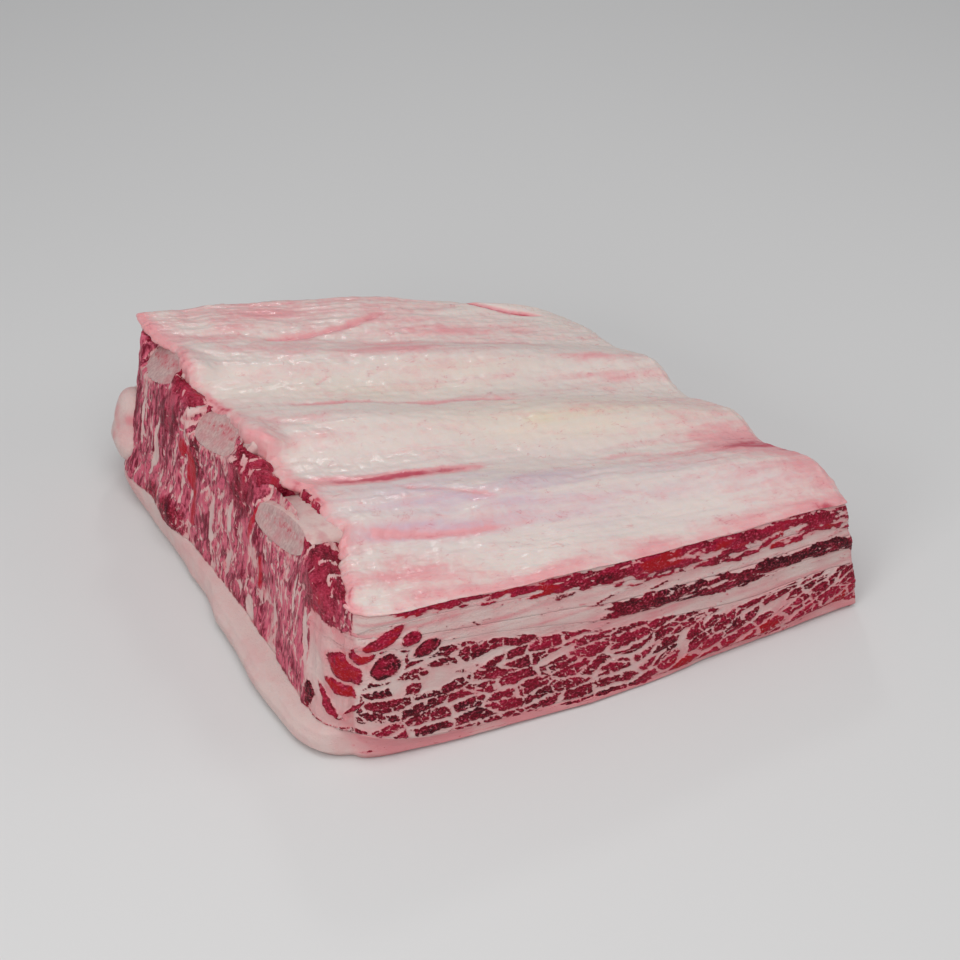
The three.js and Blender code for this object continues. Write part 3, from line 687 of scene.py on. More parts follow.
def band_fields(v, z, near_u, far_u, left_y, right_y):
    """The band's fields, and the shares of the four faces and of the near corner."""
    near_fat, near_tone = cut_face(near_u, z, rim_heights, rim_s, FACE_SEED["near"])
    far_s = np.clip(rim_s + 0.2, 0, 1)
    far_fat, far_tone = cut_face(far_u + FAR_SHIFT, z, rim_heights, far_s, FACE_SEED["far"])
    left_fat, left_tone, blood, dark = sawn_face(left_y, z, rim_heights, FACE_SEED["left"])
    right_fat, right_tone, _, _ = strand_face(right_y * RIGHT_STRETCH + RIGHT_SHIFT, z, FACE_SEED["right"])
    right_fat = np.where(v > 6, 0.85, right_fat)
    weights = np.array([on_near, on_right, on_far, on_left])
    weights = weights / weights.sum(0)
    fat = sum(face * share for face, share in zip((near_fat, right_fat, far_fat, left_fat), weights))
    tone = sum(face * share for face, share in zip((near_tone, right_tone, far_tone, left_tone), weights))
    fat, tone, corner = corner_muscles(near_u + 0 * z, z, v + 0 * z, fat, tone, FACE_SEED["corner"])
    # The cap's fat is pinker on the near side: partly its own pink, partly painted shade of the upright near
    # face.
    cap_tone_and_near_shade = 0.3 + 0.55 * side_weight(0, 14) + 0.5 * soft_noise(rim_x / 13 + z / 9, rim_y / 13, 96)
    tone = lerp(tone, cap_tone_and_near_shade, smooth((v - 6) / 0.05) * smooth((fat - 0.42) / 0.1))
    end = weights[3] * (1 - corner) * (1 - 0.8 * dark)
    return {"fat": fat, "tone": tone, "blood": blood * weights[3], "end": end}, weights, corner


def band_rows(v):
    """Places of the band at the layer numbers v, one row for each, and its fields."""
    v = np.asarray(v, float)[:, None]
    k = np.minimum(np.floor(v).astype(int), 6)[:, 0]
    share = v - k[:, None]
    z = lerp(rim_heights[k], rim_heights[k + 1], share)
    u = np.broadcast_to(rim_length, z.shape)
    near_u = np.where(u > around / 2 + side_length[1], u - around, u)
    left_y = lerp(NEAR_LEFT[1], FAR_LEFT[1], rim_t) + 0 * z
    far_u = side_length[3] - u
    right_y = np.broadcast_to(lerp(NEAR_RIGHT[1], FAR_RIGHT[1], rim_t), z.shape)
    fields, weights, corner = band_fields(v, z, near_u, far_u, left_y, right_y)
    fat = fields["fat"]
    # Outward relief: each layer bulges, meat stands over fat, and the sawn end is lumpy.
    reach = np.array(LAYER_BULGE)[k][:, None] * np.sin(np.pi * share) ** 0.7 * (1 - 0.9 * weights[3])
    reach = reach * (0.6 + 1.2 * soft_noise(rim_x / 17, rim_y / 17 + 0 * z, 98))
    reach = reach + 1.6 * corner * np.clip(0.45 - fat, 0, 0.4)
    reach = reach + MEAT_RELIEF * np.clip(0.75 - 1.5 * fat, -0.6, 0.6) * (1 - smooth((v - 5.95) / 0.2))
    reach = reach + 0.6 * soft_noise(rim_x / 14 + z / 10, rim_y / 14 - z / 12, 91) * (1 - 0.4 * weights[0])
    strand_relief = soft_noise(left_y / 5 + z / 40, z / 13, 94)
    strand_relief = strand_relief + 0.5 * soft_noise(left_y / 1.8, z / 12, 95, 2)
    reach = reach + 0.9 * strand_relief * weights[3] * (1 - smooth((v - 5.9) / 0.2))
    for (y, high), size, out in LUMPS:
        lump = bump(np.hypot((left_y - y) / size[0], (z - high) / size[1]))
        reach = reach + out * lump * weights[3]
    in_rib_right = 1 - smooth((rib_nearness(right_y, z, 1.0) - 0.72) / 0.3)
    reach = reach - rib_hollow(left_y, z) * on_left - 3.0 * in_rib_right * weights[1]
    # The cap swells into a lip, and draws in again at its foot.
    deep = np.clip(v - 6, 0, 1)
    lip = lip_reach() * along(LIP_PROFILE, deep)
    lip = lip + 0.8 * soft_noise(rim_x / 13, rim_y / 13 + 0 * z, 93) * deep
    reach = reach + lip - FOOT_INSET * smooth((deep - 0.72) / 0.28) ** 1.4
    x, y = plan(rim_s, rim_t, z)
    at_corner = smooth(deep / 0.35) * bump(near_u / 34)
    x, y = (rounded(place + reach * out, at_corner) for place, out in zip((x, y), rim_out))
    return x, y, z, fields


# %% Faces, fields and meshes
RINGS = (0.985, 0.955, 0.9, 0.8, 0.62, 0.4, 0.2)


def grid_faces(rows, count):
    """Quads between closed rows of the same count of points."""
    here = np.arange(count)
    after = (here + 1) % count
    first_row = np.stack([here, count + here, count + after, after], 1)
    return np.concatenate([first_row + row * count for row in range(rows - 1)])


def end_fans(total, rows, count):
    """Triangles from the last point but one to the first row, and from the last point to the last row."""
    here = np.arange(count)
    after = (here + 1) % count
    last = (rows - 1) * count
    return np.concatenate([np.stack([0 * here + total - 2, here, after], 1),
                           np.stack([0 * here + total - 1, last + after, last + here], 1)])


def set_fields(mesh, values):
    """Gives a mesh one attribute for each field: one number, or one for each point."""
    for field, numbers in values.items():
        old = mesh.attributes.get(field)
        if old:
            mesh.attributes.remove(old)
        attribute = mesh.attributes.new(field, "FLOAT", "POINT")
        attribute.data.foreach_set("value", np.broadcast_to(numbers, len(mesh.vertices)).astype(np.float32))


def make_piece(name, points, quads, triangles, values):
    """A mesh object in the frame from points in the slab's millimetres, with one attribute for each field."""
    mesh = bpy.data.meshes.new(name)
    placed = (np.asarray(points, float) - [*SLAB_MIDDLE, 0]) * MM
    loops = np.concatenate([np.ravel(quads), np.ravel(triangles)]).astype(np.int32)
    sizes = np.concatenate([np.full(len(quads), 4), np.full(len(triangles), 3)]).astype(np.int32)
    mesh.vertices.add(len(placed))
    mesh.vertices.foreach_set("co", placed.astype(np.float32).ravel())
    mesh.loops.add(len(loops))
    mesh.loops.foreach_set("vertex_index", loops)
    mesh.polygons.add(len(sizes))
    mesh.polygons.foreach_set("loop_start", np.concatenate([[0], np.cumsum(sizes)[:-1]]).astype(np.int32))
    mesh.polygons.foreach_set("loop_total", sizes)
    mesh.polygons.foreach_set("use_smooth", np.ones(len(sizes), bool))
    set_fields(mesh, values)
    mesh.update(calc_edges=True)
    mesh.validate()
    piece = bpy.data.objects.new(name, mesh)
    bpy.context.scene.collection.objects.link(piece)
    print(f"{name}: {len(placed)} points, {int((sizes - 2).sum())} triangles")
    return piece


# %% A closed layer from its band
def ring_points(surface, scales, lower=0.0):
    """Rings of one surface, drawn in towards the slab's middle."""
    rings = []
    for scale in scales:
        s, t = 0.5 + (rim_s - 0.5) * scale, 0.5 + (rim_t - 0.5) * scale
        z = layer_surfaces(s, t)[surface] - lower
        x, y = plan(s, t, z)
        rings.append(np.stack([x, y, z], 1))
    return rings


def band_layer(name, top, bottom, rows, top_rings=RINGS, bottom_rings=RINGS, shape_top=None):
    """A closed layer between two of the eight surfaces."""
    v = np.linspace(top, bottom, rows + 1)
    x, y, z, fields = band_rows(v)
    count = len(rim_s)
    above, above_fields = ring_points(top, top_rings, 0.1), {}
    if shape_top:
        above, above_fields = shape_top(above, top_rings, fields)
    below = ring_points(bottom, bottom_rings, 0.0 if bottom == 7 else -0.1)
    loops = above[::-1] + [np.stack([x[r], y[r], z[r]], 1) for r in range(rows + 1)] + below
    points = np.concatenate(loops + [[above[-1].mean(0)], [below[-1].mean(0)]])
    quads = grid_faces(len(loops), count)
    fans = end_fans(len(points), len(loops), count)
    values = {}
    for field, numbers in fields.items():
        over = above_fields.get(field, [numbers[0]] * len(above))
        spread = over[::-1] + list(numbers) + [numbers[-1]] * len(below)
        values[field] = np.concatenate(spread + [[0.5, 0.5]])
    return make_piece(name, points, quads, fans, values)

# %% [markdown]
# ## The layers under the skin
# Each layer is its band with closed rings drawn in towards the slab's middle above and below it. The dark
# meat between the ribs is a little different: where the skin has drawn back from the sawn end, its top
# shows as plugs between the bones, so its first rings are close together and rise there.

# %% Where the skin stops, and where the bones' backs are
# How far the skin stops short of the sawn end, at places across the slab.
SKIN_EDGE_Y = [
    -11, -5, 1, 15, 25, 32, 38, 48, 60, 68, 76, 83, 88, 92, 99, 112, 126, 135, 144, 152, 163, 175, 197,
]
SKIN_EDGE_X = [
    0.6, 1.2, 5.5, 8.5, 13, 16, 12.5, 13, 13.5, 9, 9, 10.5, 8, 5.5, 6.5, 9, 8.5, 9, 5.5, 6.5, 8.5, 4, 0.3,
]
LEDGE_RINGS = tuple(1 - 0.0075 * step for step in range(1, 21)) + (0.8, 0.62, 0.4, 0.2)
PLUG_RISE = 4.0


def cover_start(t):
    """How far the skin stops short of the sawn end, as a share of the slab's length."""
    y = lerp(NEAR_LEFT[1], FAR_LEFT[1], t)
    back = np.interp(y, SKIN_EDGE_Y, SKIN_EDGE_X)
    ragged = 1.2 * soft_noise(y / 5, 0 * y, 41) + 0.6 * soft_noise(y / 1.6, 0 * y, 42)
    return np.maximum(back + ragged * np.minimum(1, back / 4), 0.2) / SLAB_LENGTH


def bone_back(y, s, wider=1.0):
    """Height of the ribs' backs at (y, s), far below between them."""
    back = np.full(y.shape, -99.0)
    for rib in RIBS:
        # The slanted saw cut moves the back's sections this far along the rib.
        before = RIB_SLANT[rib["name"]] / SLAB_LENGTH
        my, mz, width, thick, tilt = rib_section(rib, np.maximum(s - before, 0))
        width = width * wider
        a = np.clip(np.abs(y - my) / width, 0, 1)
        arch = mz + thick * (1 - a**RIB_POWER) ** (1 / RIB_POWER) - (y - my) * np.tan(tilt)
        back = np.where(np.abs(y - my) < 0.98 * width, np.maximum(back, arch), back)
    return back


print("the skin stops", min(SKIN_EDGE_X), "to", max(SKIN_EDGE_X), "mm short of the sawn end")


# %% Meat between the ribs
def raise_plugs(rings, scales, at_rim):
    """Lifts the bare ledge at the sawn end between the bones, and gives it its own fat and tone."""
    y = lerp(NEAR_LEFT[1], FAR_LEFT[1], rim_t)
    hollow = rib_hollow(y, rim_heights[1]) * on_left
    skin_from = cover_start(rim_t) * SLAB_LENGTH
    shaped, fats, tones, ends = [], [], [], []
    for ring, scale in zip(rings, scales):
        inwards = SLAB_LENGTH / 2 * (1 - scale)
        lifted = ring.copy()
        lifted[:, 0] += np.maximum(hollow + 0.05 * inwards - inwards, 0)
        x, across, flat = lifted[:, 0], lifted[:, 1], ring[:, 2]
        crumbs = soft_noise(x / 2.6, across / 2.6, 71)
        plug = flat + (PLUG_RISE * smooth(inwards / 2.5) + 1.0 * crumbs) * smooth((0.86 - rim_t) / 0.05)
        bare = np.minimum(plug, bone_back(across, (1 - scale) / 2) - 1.5)
        bare = np.where(bare < -50, plug, bare)
        under_skin = smooth((inwards - skin_from + 2.5) / 2.5)
        height = lerp(bare, np.minimum(plug, flat + 0.6 + 1.5 * bump((inwards - skin_from) / 2)), under_skin)
        lifted[:, 2] = lerp(flat, height, on_left * (1 - smooth((inwards - 17) / 3)))
        shaped.append(lifted)
        plug_fat = 0.24 + 0.5 * smooth(2.6 * soft_noise(x / 2.4, across / 2.2, 73, 2) - 0.5)
        plug_tone = 0.62 + 0.55 * soft_noise(x / 3, across / 4, 74)
        share = on_left * smooth(inwards / 1.5)
        fats.append(lerp(at_rim["fat"][0], plug_fat, share))
        tones.append(lerp(at_rim["tone"][0], plug_tone, share))
        ends.append(lerp(at_rim["end"][0], 0.2, share))
    return shaped, {"fat": fats, "tone": tones, "end": ends}


pieces = {}
pieces["intercostal_meat"] = band_layer("meat_between_ribs", 1, 2, 14, LEDGE_RINGS, shape_top=raise_plugs)

# %% Seams, muscles and the fat cap
pieces["fat_seam_upper"] = band_layer("upper_fat_seam", 2, 3, 12)
pieces["thin_muscle"] = band_layer("thin_red_muscle", 3, 4, 12)
pieces["fat_seam_lower"] = band_layer("lower_fat_seam", 4, 5, 12)
pieces["main_muscle"] = band_layer("marbled_muscle", 5, 6, 58)
# The cap's foot is drawn in, so its underside starts further in than the other layers'.
UNDERSIDE_RINGS = (0.9, 0.82, 0.72, 0.6, 0.4, 0.2)
cap_body = band_layer("cap_of_fat", 6, 7, 24, bottom_rings=UNDERSIDE_RINGS)

# %% [markdown]
# ## The fold of fat at the far left corner
# The cap climbs round the far left corner as a soft fold. A few ovals overlap there; a voxel remesh melts
# them into one skin without creases, and the fold then becomes part of the cap.

# %% The swells of the fold
# Middle and radii of each, in the slab's millimetres.
FOLD = [((-27, 188, 31), (7.5, 12, 12.5)), ((-29, 186, 22), (9, 14, 11)), ((-22, 182, 13), (8, 13, 8)),
        ((-16, 199, 22), (16, 9, 17)), ((4, 204, 14), (24, 7, 13)), ((24, 206, 7), (18, 5, 6.5))]


def oval_points(at, radii, columns=64, rows=40):
    turn = 2 * np.pi * np.arange(columns) / columns
    rings = []
    for row in range(1, rows):
        tip = np.pi * row / rows
        wave = 1 + 0.22 * soft_noise(1.6 * np.cos(turn) + 4 * row / rows, 1.6 * np.sin(turn) + at[0], 8)
        rings.append(np.stack([at[0] + radii[0] * np.sin(tip) * np.cos(turn) * wave,
                               at[1] + radii[1] * np.sin(tip) * np.sin(turn) * wave,
                               at[2] + radii[2] * np.cos(tip) + 0 * turn], 1))
    points = np.concatenate(rings + [[[at[0], at[1], at[2] + radii[2]], [at[0], at[1], at[2] - radii[2]]]])
    return points, grid_faces(rows - 1, columns), end_fans(len(points), rows - 1, columns)


def join_pieces(keep, others):
    """Joins other objects into one, and returns it."""
    with bpy.context.temp_override(active_object=keep, selected_editable_objects=[keep, *others]):
        bpy.ops.object.join()
    return keep


def applied(piece):
    """Turns a piece's modifiers into its mesh."""
    graph = bpy.context.evaluated_depsgraph_get()
    mesh = bpy.data.meshes.new_from_object(piece.evaluated_get(graph))
    piece.modifiers.clear()
    piece.data = mesh
    return piece


# %% Melt the swells into one fold
MELT_VOXEL_MM = 1.0
SOFTEN_TIMES, SOFTEN_FACTOR = 22, 0.6

swells = [make_piece(f"swell_{i}", *oval_points(at, radii), {}) for i, (at, radii) in enumerate(FOLD)]
fold = join_pieces(swells[0], swells[1:])
melt = fold.modifiers.new("melt", "REMESH")
melt.mode, melt.voxel_size, melt.use_smooth_shade = "VOXEL", MELT_VOXEL_MM * MM, True
soften = fold.modifiers.new("soften", "SMOOTH")
soften.iterations, soften.factor = SOFTEN_TIMES, SOFTEN_FACTOR
applied(fold)
spots = np.empty(3 * len(fold.data.vertices), np.float32)
fold.data.vertices.foreach_get("co", spots)
spots = spots.reshape(-1, 3) / MM
flush = 0.35 + 0.9 * soft_noise(spots[:, 1] / 9, spots[:, 2] / 7, 18)
set_fields(fold.data, {"fat": 0.9, "tone": flush, "blood": 0.0, "end": 0.6})
pieces["fat_cap"] = join_pieces(cap_body, [fold])
print("fat cap with its fold:", len(pieces["fat_cap"].data.polygons), "faces")

# %% [markdown]
# ## The ribs
# A rib is a flat oval bar. Only its sawn ends and the first centimetre of its back show, so its rings are
# close together there. The saw has left fine upright lines, the marrow is spongy and a little sunken, and
# the hard rim round it stands proud.

# %% Bars with sawn ends
RIB_PROUD = 0.5
RIB_SIDES = 120
END_RINGS = 16
# Millimetres from the saw: close together where the bone shows.
RIB_LENGTH = 195.0
RIB_STATIONS = [
    *np.arange(0, 2, 0.3), *np.arange(2, 20, 0.8), *np.arange(26, 176, 15), 184, 189, 192, RIB_LENGTH,
]
# How boxy a section is, how rough, and the depths of the marrow and of the saw's lines.
SECTION_POWER = 0.84
MARROW_DEPTH, SAW_DEPTH = 0.5, 0.09


def end_face(y, z, at_right):
    start, end = (NEAR_RIGHT[1], FAR_RIGHT[1]) if at_right else (NEAR_LEFT[1], FAR_LEFT[1])
    t = np.clip((y - start) / (end - start), 0, 1)
    return plan(np.full(t.shape, 1.0 if at_right else 0.0), t, z)[0]


def rib_ring(rib, s, scale, relief=0.0):
    """One ring of a rib's section at s, scaled about its middle."""
    y0, z0, width, thick, tilt = rib_section(rib, s)
    angle = 2 * np.pi * np.arange(RIB_SIDES) / RIB_SIDES
    c, d = np.cos(angle), np.sin(angle)
    rough = 1 + 0.035 * soft_noise(1.8 * c + 9 * s, 1.8 * d + rib["half_width"], 15)
    rough = rough - 0.05 * (1 - smooth(s / 0.012))
    a = scale * width * rough * np.sign(c) * np.abs(c) ** SECTION_POWER
    b = scale * thick * rough * np.sign(d) * np.abs(d) ** SECTION_POWER
    y = y0 + a * np.cos(tilt) + b * np.sin(tilt)
    z = z0 + b * np.cos(tilt) - a * np.sin(tilt)
    slant = RIB_SLANT[rib["name"]] * np.clip((b / thick + 1) / 2, 0, 1)
    x = lerp(end_face(y, z, False) - RIB_PROUD + slant, end_face(y, z, True) + 0.3, s)
    return np.stack([x + relief, y, z], 1), a / width, b / thick


def sawn_bar(rib):
    """A closed bar: rings out over the sawn end, along the bone, and in over the far end."""
    scales = (1 - np.linspace(0, 1, END_RINGS + 1)[:-1]) ** 0.9
    rings, fields = [], {"a": [], "b": [], "sawn": []}

    def add_ring(ring, sawn):
        rings.append(ring[0])
        for field, numbers in zip(("a", "b"), ring[1:]):
            fields[field].append(numbers)
        fields["sawn"].append(np.full(RIB_SIDES, sawn))

    for scale in scales[::-1][:-1]:
        _, a, b = rib_ring(rib, 0.0, scale)
        marrow = MARROW_DEPTH * smooth((0.72 - np.hypot(a, b)) / 0.2)
        fainter = 1 - 0.5 * smooth((0.7 - np.hypot(a, b)) / 0.2)
        lines = SAW_DEPTH * np.sin(rib["half_width"] * a * 5.2) * fainter
        add_ring(rib_ring(rib, 0.0, scale, marrow + lines), 1.0)
    for s in np.array(RIB_STATIONS) / RIB_LENGTH:
        add_ring(rib_ring(rib, s, 1.0), 0.0)
    for scale in scales:
        add_ring(rib_ring(rib, 1.0, scale * 0.985), 1.0)
    points = np.concatenate(rings + [[rings[0].mean(0)], [rings[-1].mean(0)]])
    # The rings run the other way round here, so the fans are turned over.
    fans = end_fans(len(points), len(rings), RIB_SIDES)[:, [0, 2, 1]]
    values = {field: np.concatenate(numbers + [[0, 0]]) for field, numbers in fields.items()}
    values["sawn"][-2:] = 1
    quads = grid_faces(len(rings), RIB_SIDES)[:, ::-1]
    return make_piece("rib_" + rib["name"][-1], points, quads, fans, values)


for rib in RIBS:
    pieces[rib["name"]] = sawn_bar(rib)

# %% [markdown]
# ## The white skin over the ribs
# The skin is membrane and fat, stretched over the ribs in low ridges. It has creases along the ribs where
# it sinks between them, small folds, and pink and lilac stains. It is one fine grid, so that both the
# creases and the stains come from fields over the top face, as on the cut faces.

# %% Named marks on the top face, in the slab's millimetres
# From, to, bow sideways, half width, depth, stain.
CREASES = [
    ((12, 66), (92, 64.5), -3.5, 3.4, 0.55, 0.8),
    ((46, 51), (82, 36), 2.0, 1.5, 0.5, 0.6),
    ((24, 30), (80, 23), -1.5, 1.6, 0.6, 0.75),
    ((20, 118), (125, 105), 1.5, 1.3, 0.6, 0.5),
    ((24, 168), (88, 187), -5.0, 1.6, 1.3, 0.75),
    ((118, 197), (156, 178), -4.0, 1.7, 1.8, 1.3),
    ((38, 132), (45, 136), 0.5, 0.9, 0.6, 0.8),
    ((60, 160), (150, 150), 2.0, 2.0, 0.4, 0.35),
    ((120, 60), (186, 47), 1.5, 1.6, 0.4, 0.3),
    ((60, 92), (150, 74), -2.0, 1.4, 0.3, 0.12),
]
# At, half sizes, turn, strength.
PINKS = [
    ((198, 50), (24, 10), -14, 1.3), ((190, 49), (17, 5), -14, 1.7), ((203, 44), (8, 4.5), -10, 1.6),
    ((203, 34), (9, 14), 20, 0.6), ((75, 152), (45, 5), -6, 0.5),
    ((30, 190), (50, 8), 2, 0.5), ((10, 100), (9, 20), 0, 0.4), ((40, 5), (18, 7), 0, 0.4),
    ((150, 120), (40, 4), -8, 0.45), ((165, 132), (22, 4), -8, 0.5), ((140, 52), (40, 6), -6, 0.3),
    ((110, 168), (40, 6), -12, 0.35), ((28, 97), (12, 10), 0, 0.3), ((12, 66), (5, 22), 5, 0.35),
    ((60, 114), (60, 3), -6, 0.4), ((50, 63), (30, 3), 0, 0.7), ((175, 95), (18, 5), -8, 0.25),
]
CREAMS = [
    ((117, 87), (8, 5), 0, 1.5), ((130, 88), (50, 14), -7, 0.8), ((60, 125), (50, 10), -6, 0.5),
    ((100, 134), (40, 6), -8, 0.3),
]
LILACS = [
    ((62, 44), (24, 4), -23, 1.5), ((50, 27), (27, 4), -4, 1.5), ((85, 40), (75, 20), -8, 0.9),
    ((60, 60), (30, 8), -4, 0.4), ((175, 28), (30, 10), -8, 0.4),
]


print(len(CREASES), "creases and", len(PINKS) + len(CREAMS) + len(LILACS), "stains")


# %% Lines and stains as fields
def crease(x, y, start, end, bow, width, ragged):
    """1 along an uneven bowed line, fading to its sides and ends."""
    dx, dy = end[0] - start[0], end[1] - start[1]
    size = math.hypot(dx, dy)
    u = ((x - start[0]) * dx + (y - start[1]) * dy) / size**2
    off = ((y - start[1]) * dx - (x - start[0]) * dy) / size
    off = off - bow * np.sin(np.pi * np.clip(u, 0, 1)) - ragged * soft_noise(x / 9, y / 15, 31)
    fade = smooth(u / 0.12) * smooth((1 - u) / 0.2)
    return bump(off / (width * (0.6 + 0.4 * fade))) * fade * (0.75 + 0.35 * soft_noise(x / 6, y / 8, 33))


def stain(x, y, marks, seed):
    """Soft ovals torn into streaks along the ribs."""
    total = 0 * x
    for number, (at, size, turn, strength) in enumerate(marks):
        angle = math.radians(turn)
        a = ((x - at[0]) * math.cos(angle) + (y - at[1]) * math.sin(angle)) / size[0]
        b = ((y - at[1]) * math.cos(angle) - (x - at[0]) * math.sin(angle)) / size[1]
        streaks = 0.75 + 0.6 * soft_noise(x / 26, y / 3.4, seed + number)
        total = np.maximum(total, strength * bump(np.hypot(a, b)) * streaks)
    return total


# %% Relief and stains of the skin
# The skin's shoulders at the thin end, in millimetres over the ribs' smooth ridges, by y.
SHOULDER_Y = [0, 24, 50, 74, 97, 120, 143, 165, 197]
SHOULDER_RISE = [0, 1.6, 2.8, -0.4, -2.2, 2.0, -1.8, 0.4, 0.5]


def skin_fields(x, y, s, t):
    relief = 0.6 * soft_noise(x / 42, y / 17, 51) + 0.17 * soft_noise(x / 34, y / 4.2, 52)
    relief = relief + 0.06 * soft_noise(x / 9, y / 2.2, 53) + 0.14 * soft_noise(x / 6, y / 5, 54)
    relief = relief + np.interp(y, SHOULDER_Y, SHOULDER_RISE) * smooth((x - 140) / 55)
    relief = relief + 2.0 * smooth((y - 160) / 25) * smooth((175 - x) / 50) * smooth(x / 12)
    pink = 0.08 + 0.16 * soft_noise(x / 60, y / 6, 55) + stain(x, y, PINKS, 60)
    pink = pink + 0.22 * smooth((y - 140) / 30) * smooth((170 - x) / 40)
    from_near = y - lerp(NEAR_LEFT[1], NEAR_RIGHT[1], (x - NEAR_LEFT[0]) / 205)
    pink = pink + 0.55 * smooth((11 - from_near) / 11) * (0.8 + 0.8 * soft_noise(x / 18, y / 4, 56))
    pink = pink + 0.30 * bump(np.hypot((x - 34) / 26, (y - 6) / 12))
    pink = pink + 0.22 * smooth((x - 150) / 40) * smooth((120 - y) / 50)
    for start, end, bow, width, depth, colour in CREASES:
        line = crease(x, y, start, end, bow, width, 0.9)
        relief, pink = relief - depth * line, pink + colour * line
    flap = bump(np.hypot((x - 146) / 22, (y - 188) / 6))
    bead = bump(np.hypot((x - 83) / 1.6, (y - 166.5) / 1.4))
    relief = relief + 1.3 * flap + 1.2 * bead
    pink = pink * (1 - 0.8 * bead) - 0.25 * flap
    away = (s - cover_start(t)) * SLAB_LENGTH
    pink = pink + 0.35 * bump(away / 5.0)
    pink = pink + 0.8 * bump((away - 0.7) / 1.3) * smooth(0.35 + soft_noise(y / 7, x / 7, 58))
    cream = stain(x, y, CREAMS, 80)
    lilac = stain(x, y, LILACS, 90)
    return relief, np.clip(pink, 0, 1.6), np.clip(cream, 0, 1), np.clip(lilac, 0, 1)


# %% One fine grid with a rounded side
COVER_STEPS = (286, 280)
# How far down the side each ring is, and how far it stands out there in millimetres.
SKIN_SIDE = [(0.12, 0.45), (0.3, 0.8), (0.5, 0.9), (0.7, 0.75), (0.88, 0.45), (1.0, 0.1)]
OVER_BONE = 1.1
BONE_MARGIN = 1.14


def eased(count):
    """Steps from 0 to 1, closer together at both ends."""
    u = np.linspace(0, 1, count + 1)
    return u - 0.45 * np.sin(2 * np.pi * u) / (2 * np.pi)


def skin_piece():
    """The skin's fine top, its rounded side, and rings in under it."""
    s_grid, t_grid = np.meshgrid(eased(COVER_STEPS[0]), eased(COVER_STEPS[1]), indexing="ij")
    start = cover_start(t_grid)
    s = start + (1 - start) * s_grid
    tip = 1.2 * ((1 - s) * t_grid) ** CORNER_SHARPNESS
    flat_x, flat_y = top_plan(s, t_grid, True)
    relief, pink, cream, lilac = skin_fields(flat_x, flat_y, s, t_grid)
    inside = np.minimum(np.minimum(s_grid, 1 - s_grid), np.minimum(t_grid, 1 - t_grid))
    rounding = 0.9 * (1 - smooth(inside / 0.012)) ** 2
    over_bone = bone_back(flat_y, s, BONE_MARGIN) + OVER_BONE + 0.5 * relief
    z = np.maximum(top_surface(s, t_grid) + tip + relief, over_bone) - rounding
    x, y = plan(s, t_grid, z, True)
    rows, columns = s.shape
    number = np.arange(rows * columns).reshape(rows, columns)
    quads = np.stack([number[:-1, :-1], number[1:, :-1], number[1:, 1:], number[:-1, 1:]], -1).reshape(-1, 4)
    rim = np.concatenate([number[:-1, 0], number[-1, :-1], number[:0:-1, -1], number[0, :0:-1]])
    sr, tr = s.ravel()[rim], t_grid.ravel()[rim]
    edge_x, edge_y = top_plan(sr, tr, True)
    out = loop_normals(edge_x, edge_y)
    tip_r = tip.ravel()[rim]
    low = layer_surfaces(sr, tr)[1] + tip_r - 0.05
    loops = [np.stack([x.ravel()[rim], y.ravel()[rim], z.ravel()[rim]], 1)]
    for down, reach in SKIN_SIDE:
        zz = lerp(loops[0][:, 2], low, down)
        wave = reach * (1 + 0.4 * soft_noise(edge_x / 5 + edge_y / 5, zz, 44))
        xx, yy = plan(sr, tr, zz, True)
        loops.append(np.stack([xx + wave * out[0], yy + wave * out[1], zz], 1))
    for scale in RINGS:
        ss, tt = 0.5 + (sr - 0.5) * scale, 0.5 + (tr - 0.5) * scale
        zz = layer_surfaces(ss, tt)[1] + 0.1 + tip_r * (scale > 0.98)
        xx, yy = plan(ss, tt, zz, True)
        loops.append(np.stack([xx, yy, zz], 1))
    top = np.stack([x.ravel(), y.ravel(), z.ravel()], 1)
    points = np.concatenate([top] + loops[1:] + [[loops[-1].mean(0)]])
    count = len(rim)
    # Row 0 of the side is the grid's own rim, so its numbers are looked up there.
    look_up = np.concatenate([rim, len(top) + np.arange((len(loops) - 1) * count)])
    side = look_up[grid_faces(len(loops), count)]
    here = np.arange(count)
    last = len(top) + (len(loops) - 2) * count
    fan = np.stack([0 * here + len(points) - 1, last + (here + 1) % count, last + here], 1)
    values = {}
    for field, numbers in (("pink", pink), ("cream", cream), ("lilac", lilac)):
        rim_values = numbers.ravel()[rim]
        values[field] = np.concatenate([numbers.ravel()] + [rim_values] * (len(loops) - 1) + [[0]])
    return make_piece("white_skin", points, np.concatenate([quads, side]), fan, values)


pieces["membrane_cover"] = skin_piece()

# %% [markdown]
# ## Finishes
# Raw meat is soft and wet: light goes a little way in and comes back redder, and a thin film of moisture
# gives small sharp glints. So each finish is a subsurface shader with a clear coat, mixed from noise.
# The fields on the mesh say where fat ends and meat begins; the shader only makes that edge crisper,
# and adds what is finer than the mesh: fibres, flecks and pores.

# %% Colours
def linear(red, green, blue):
    """A colour given in 0 to 255 display values, as Blender's linear colour."""
    channels = []
    for value in (red, green, blue):
        share = value / 255
        channels.append(share / 12.92 if value <= 10 else ((share + 0.055) / 1.055) ** 2.4)
    return [*channels, 1]


print("mid grey is", round(linear(128, 128, 128)[0], 3), "in linear light")


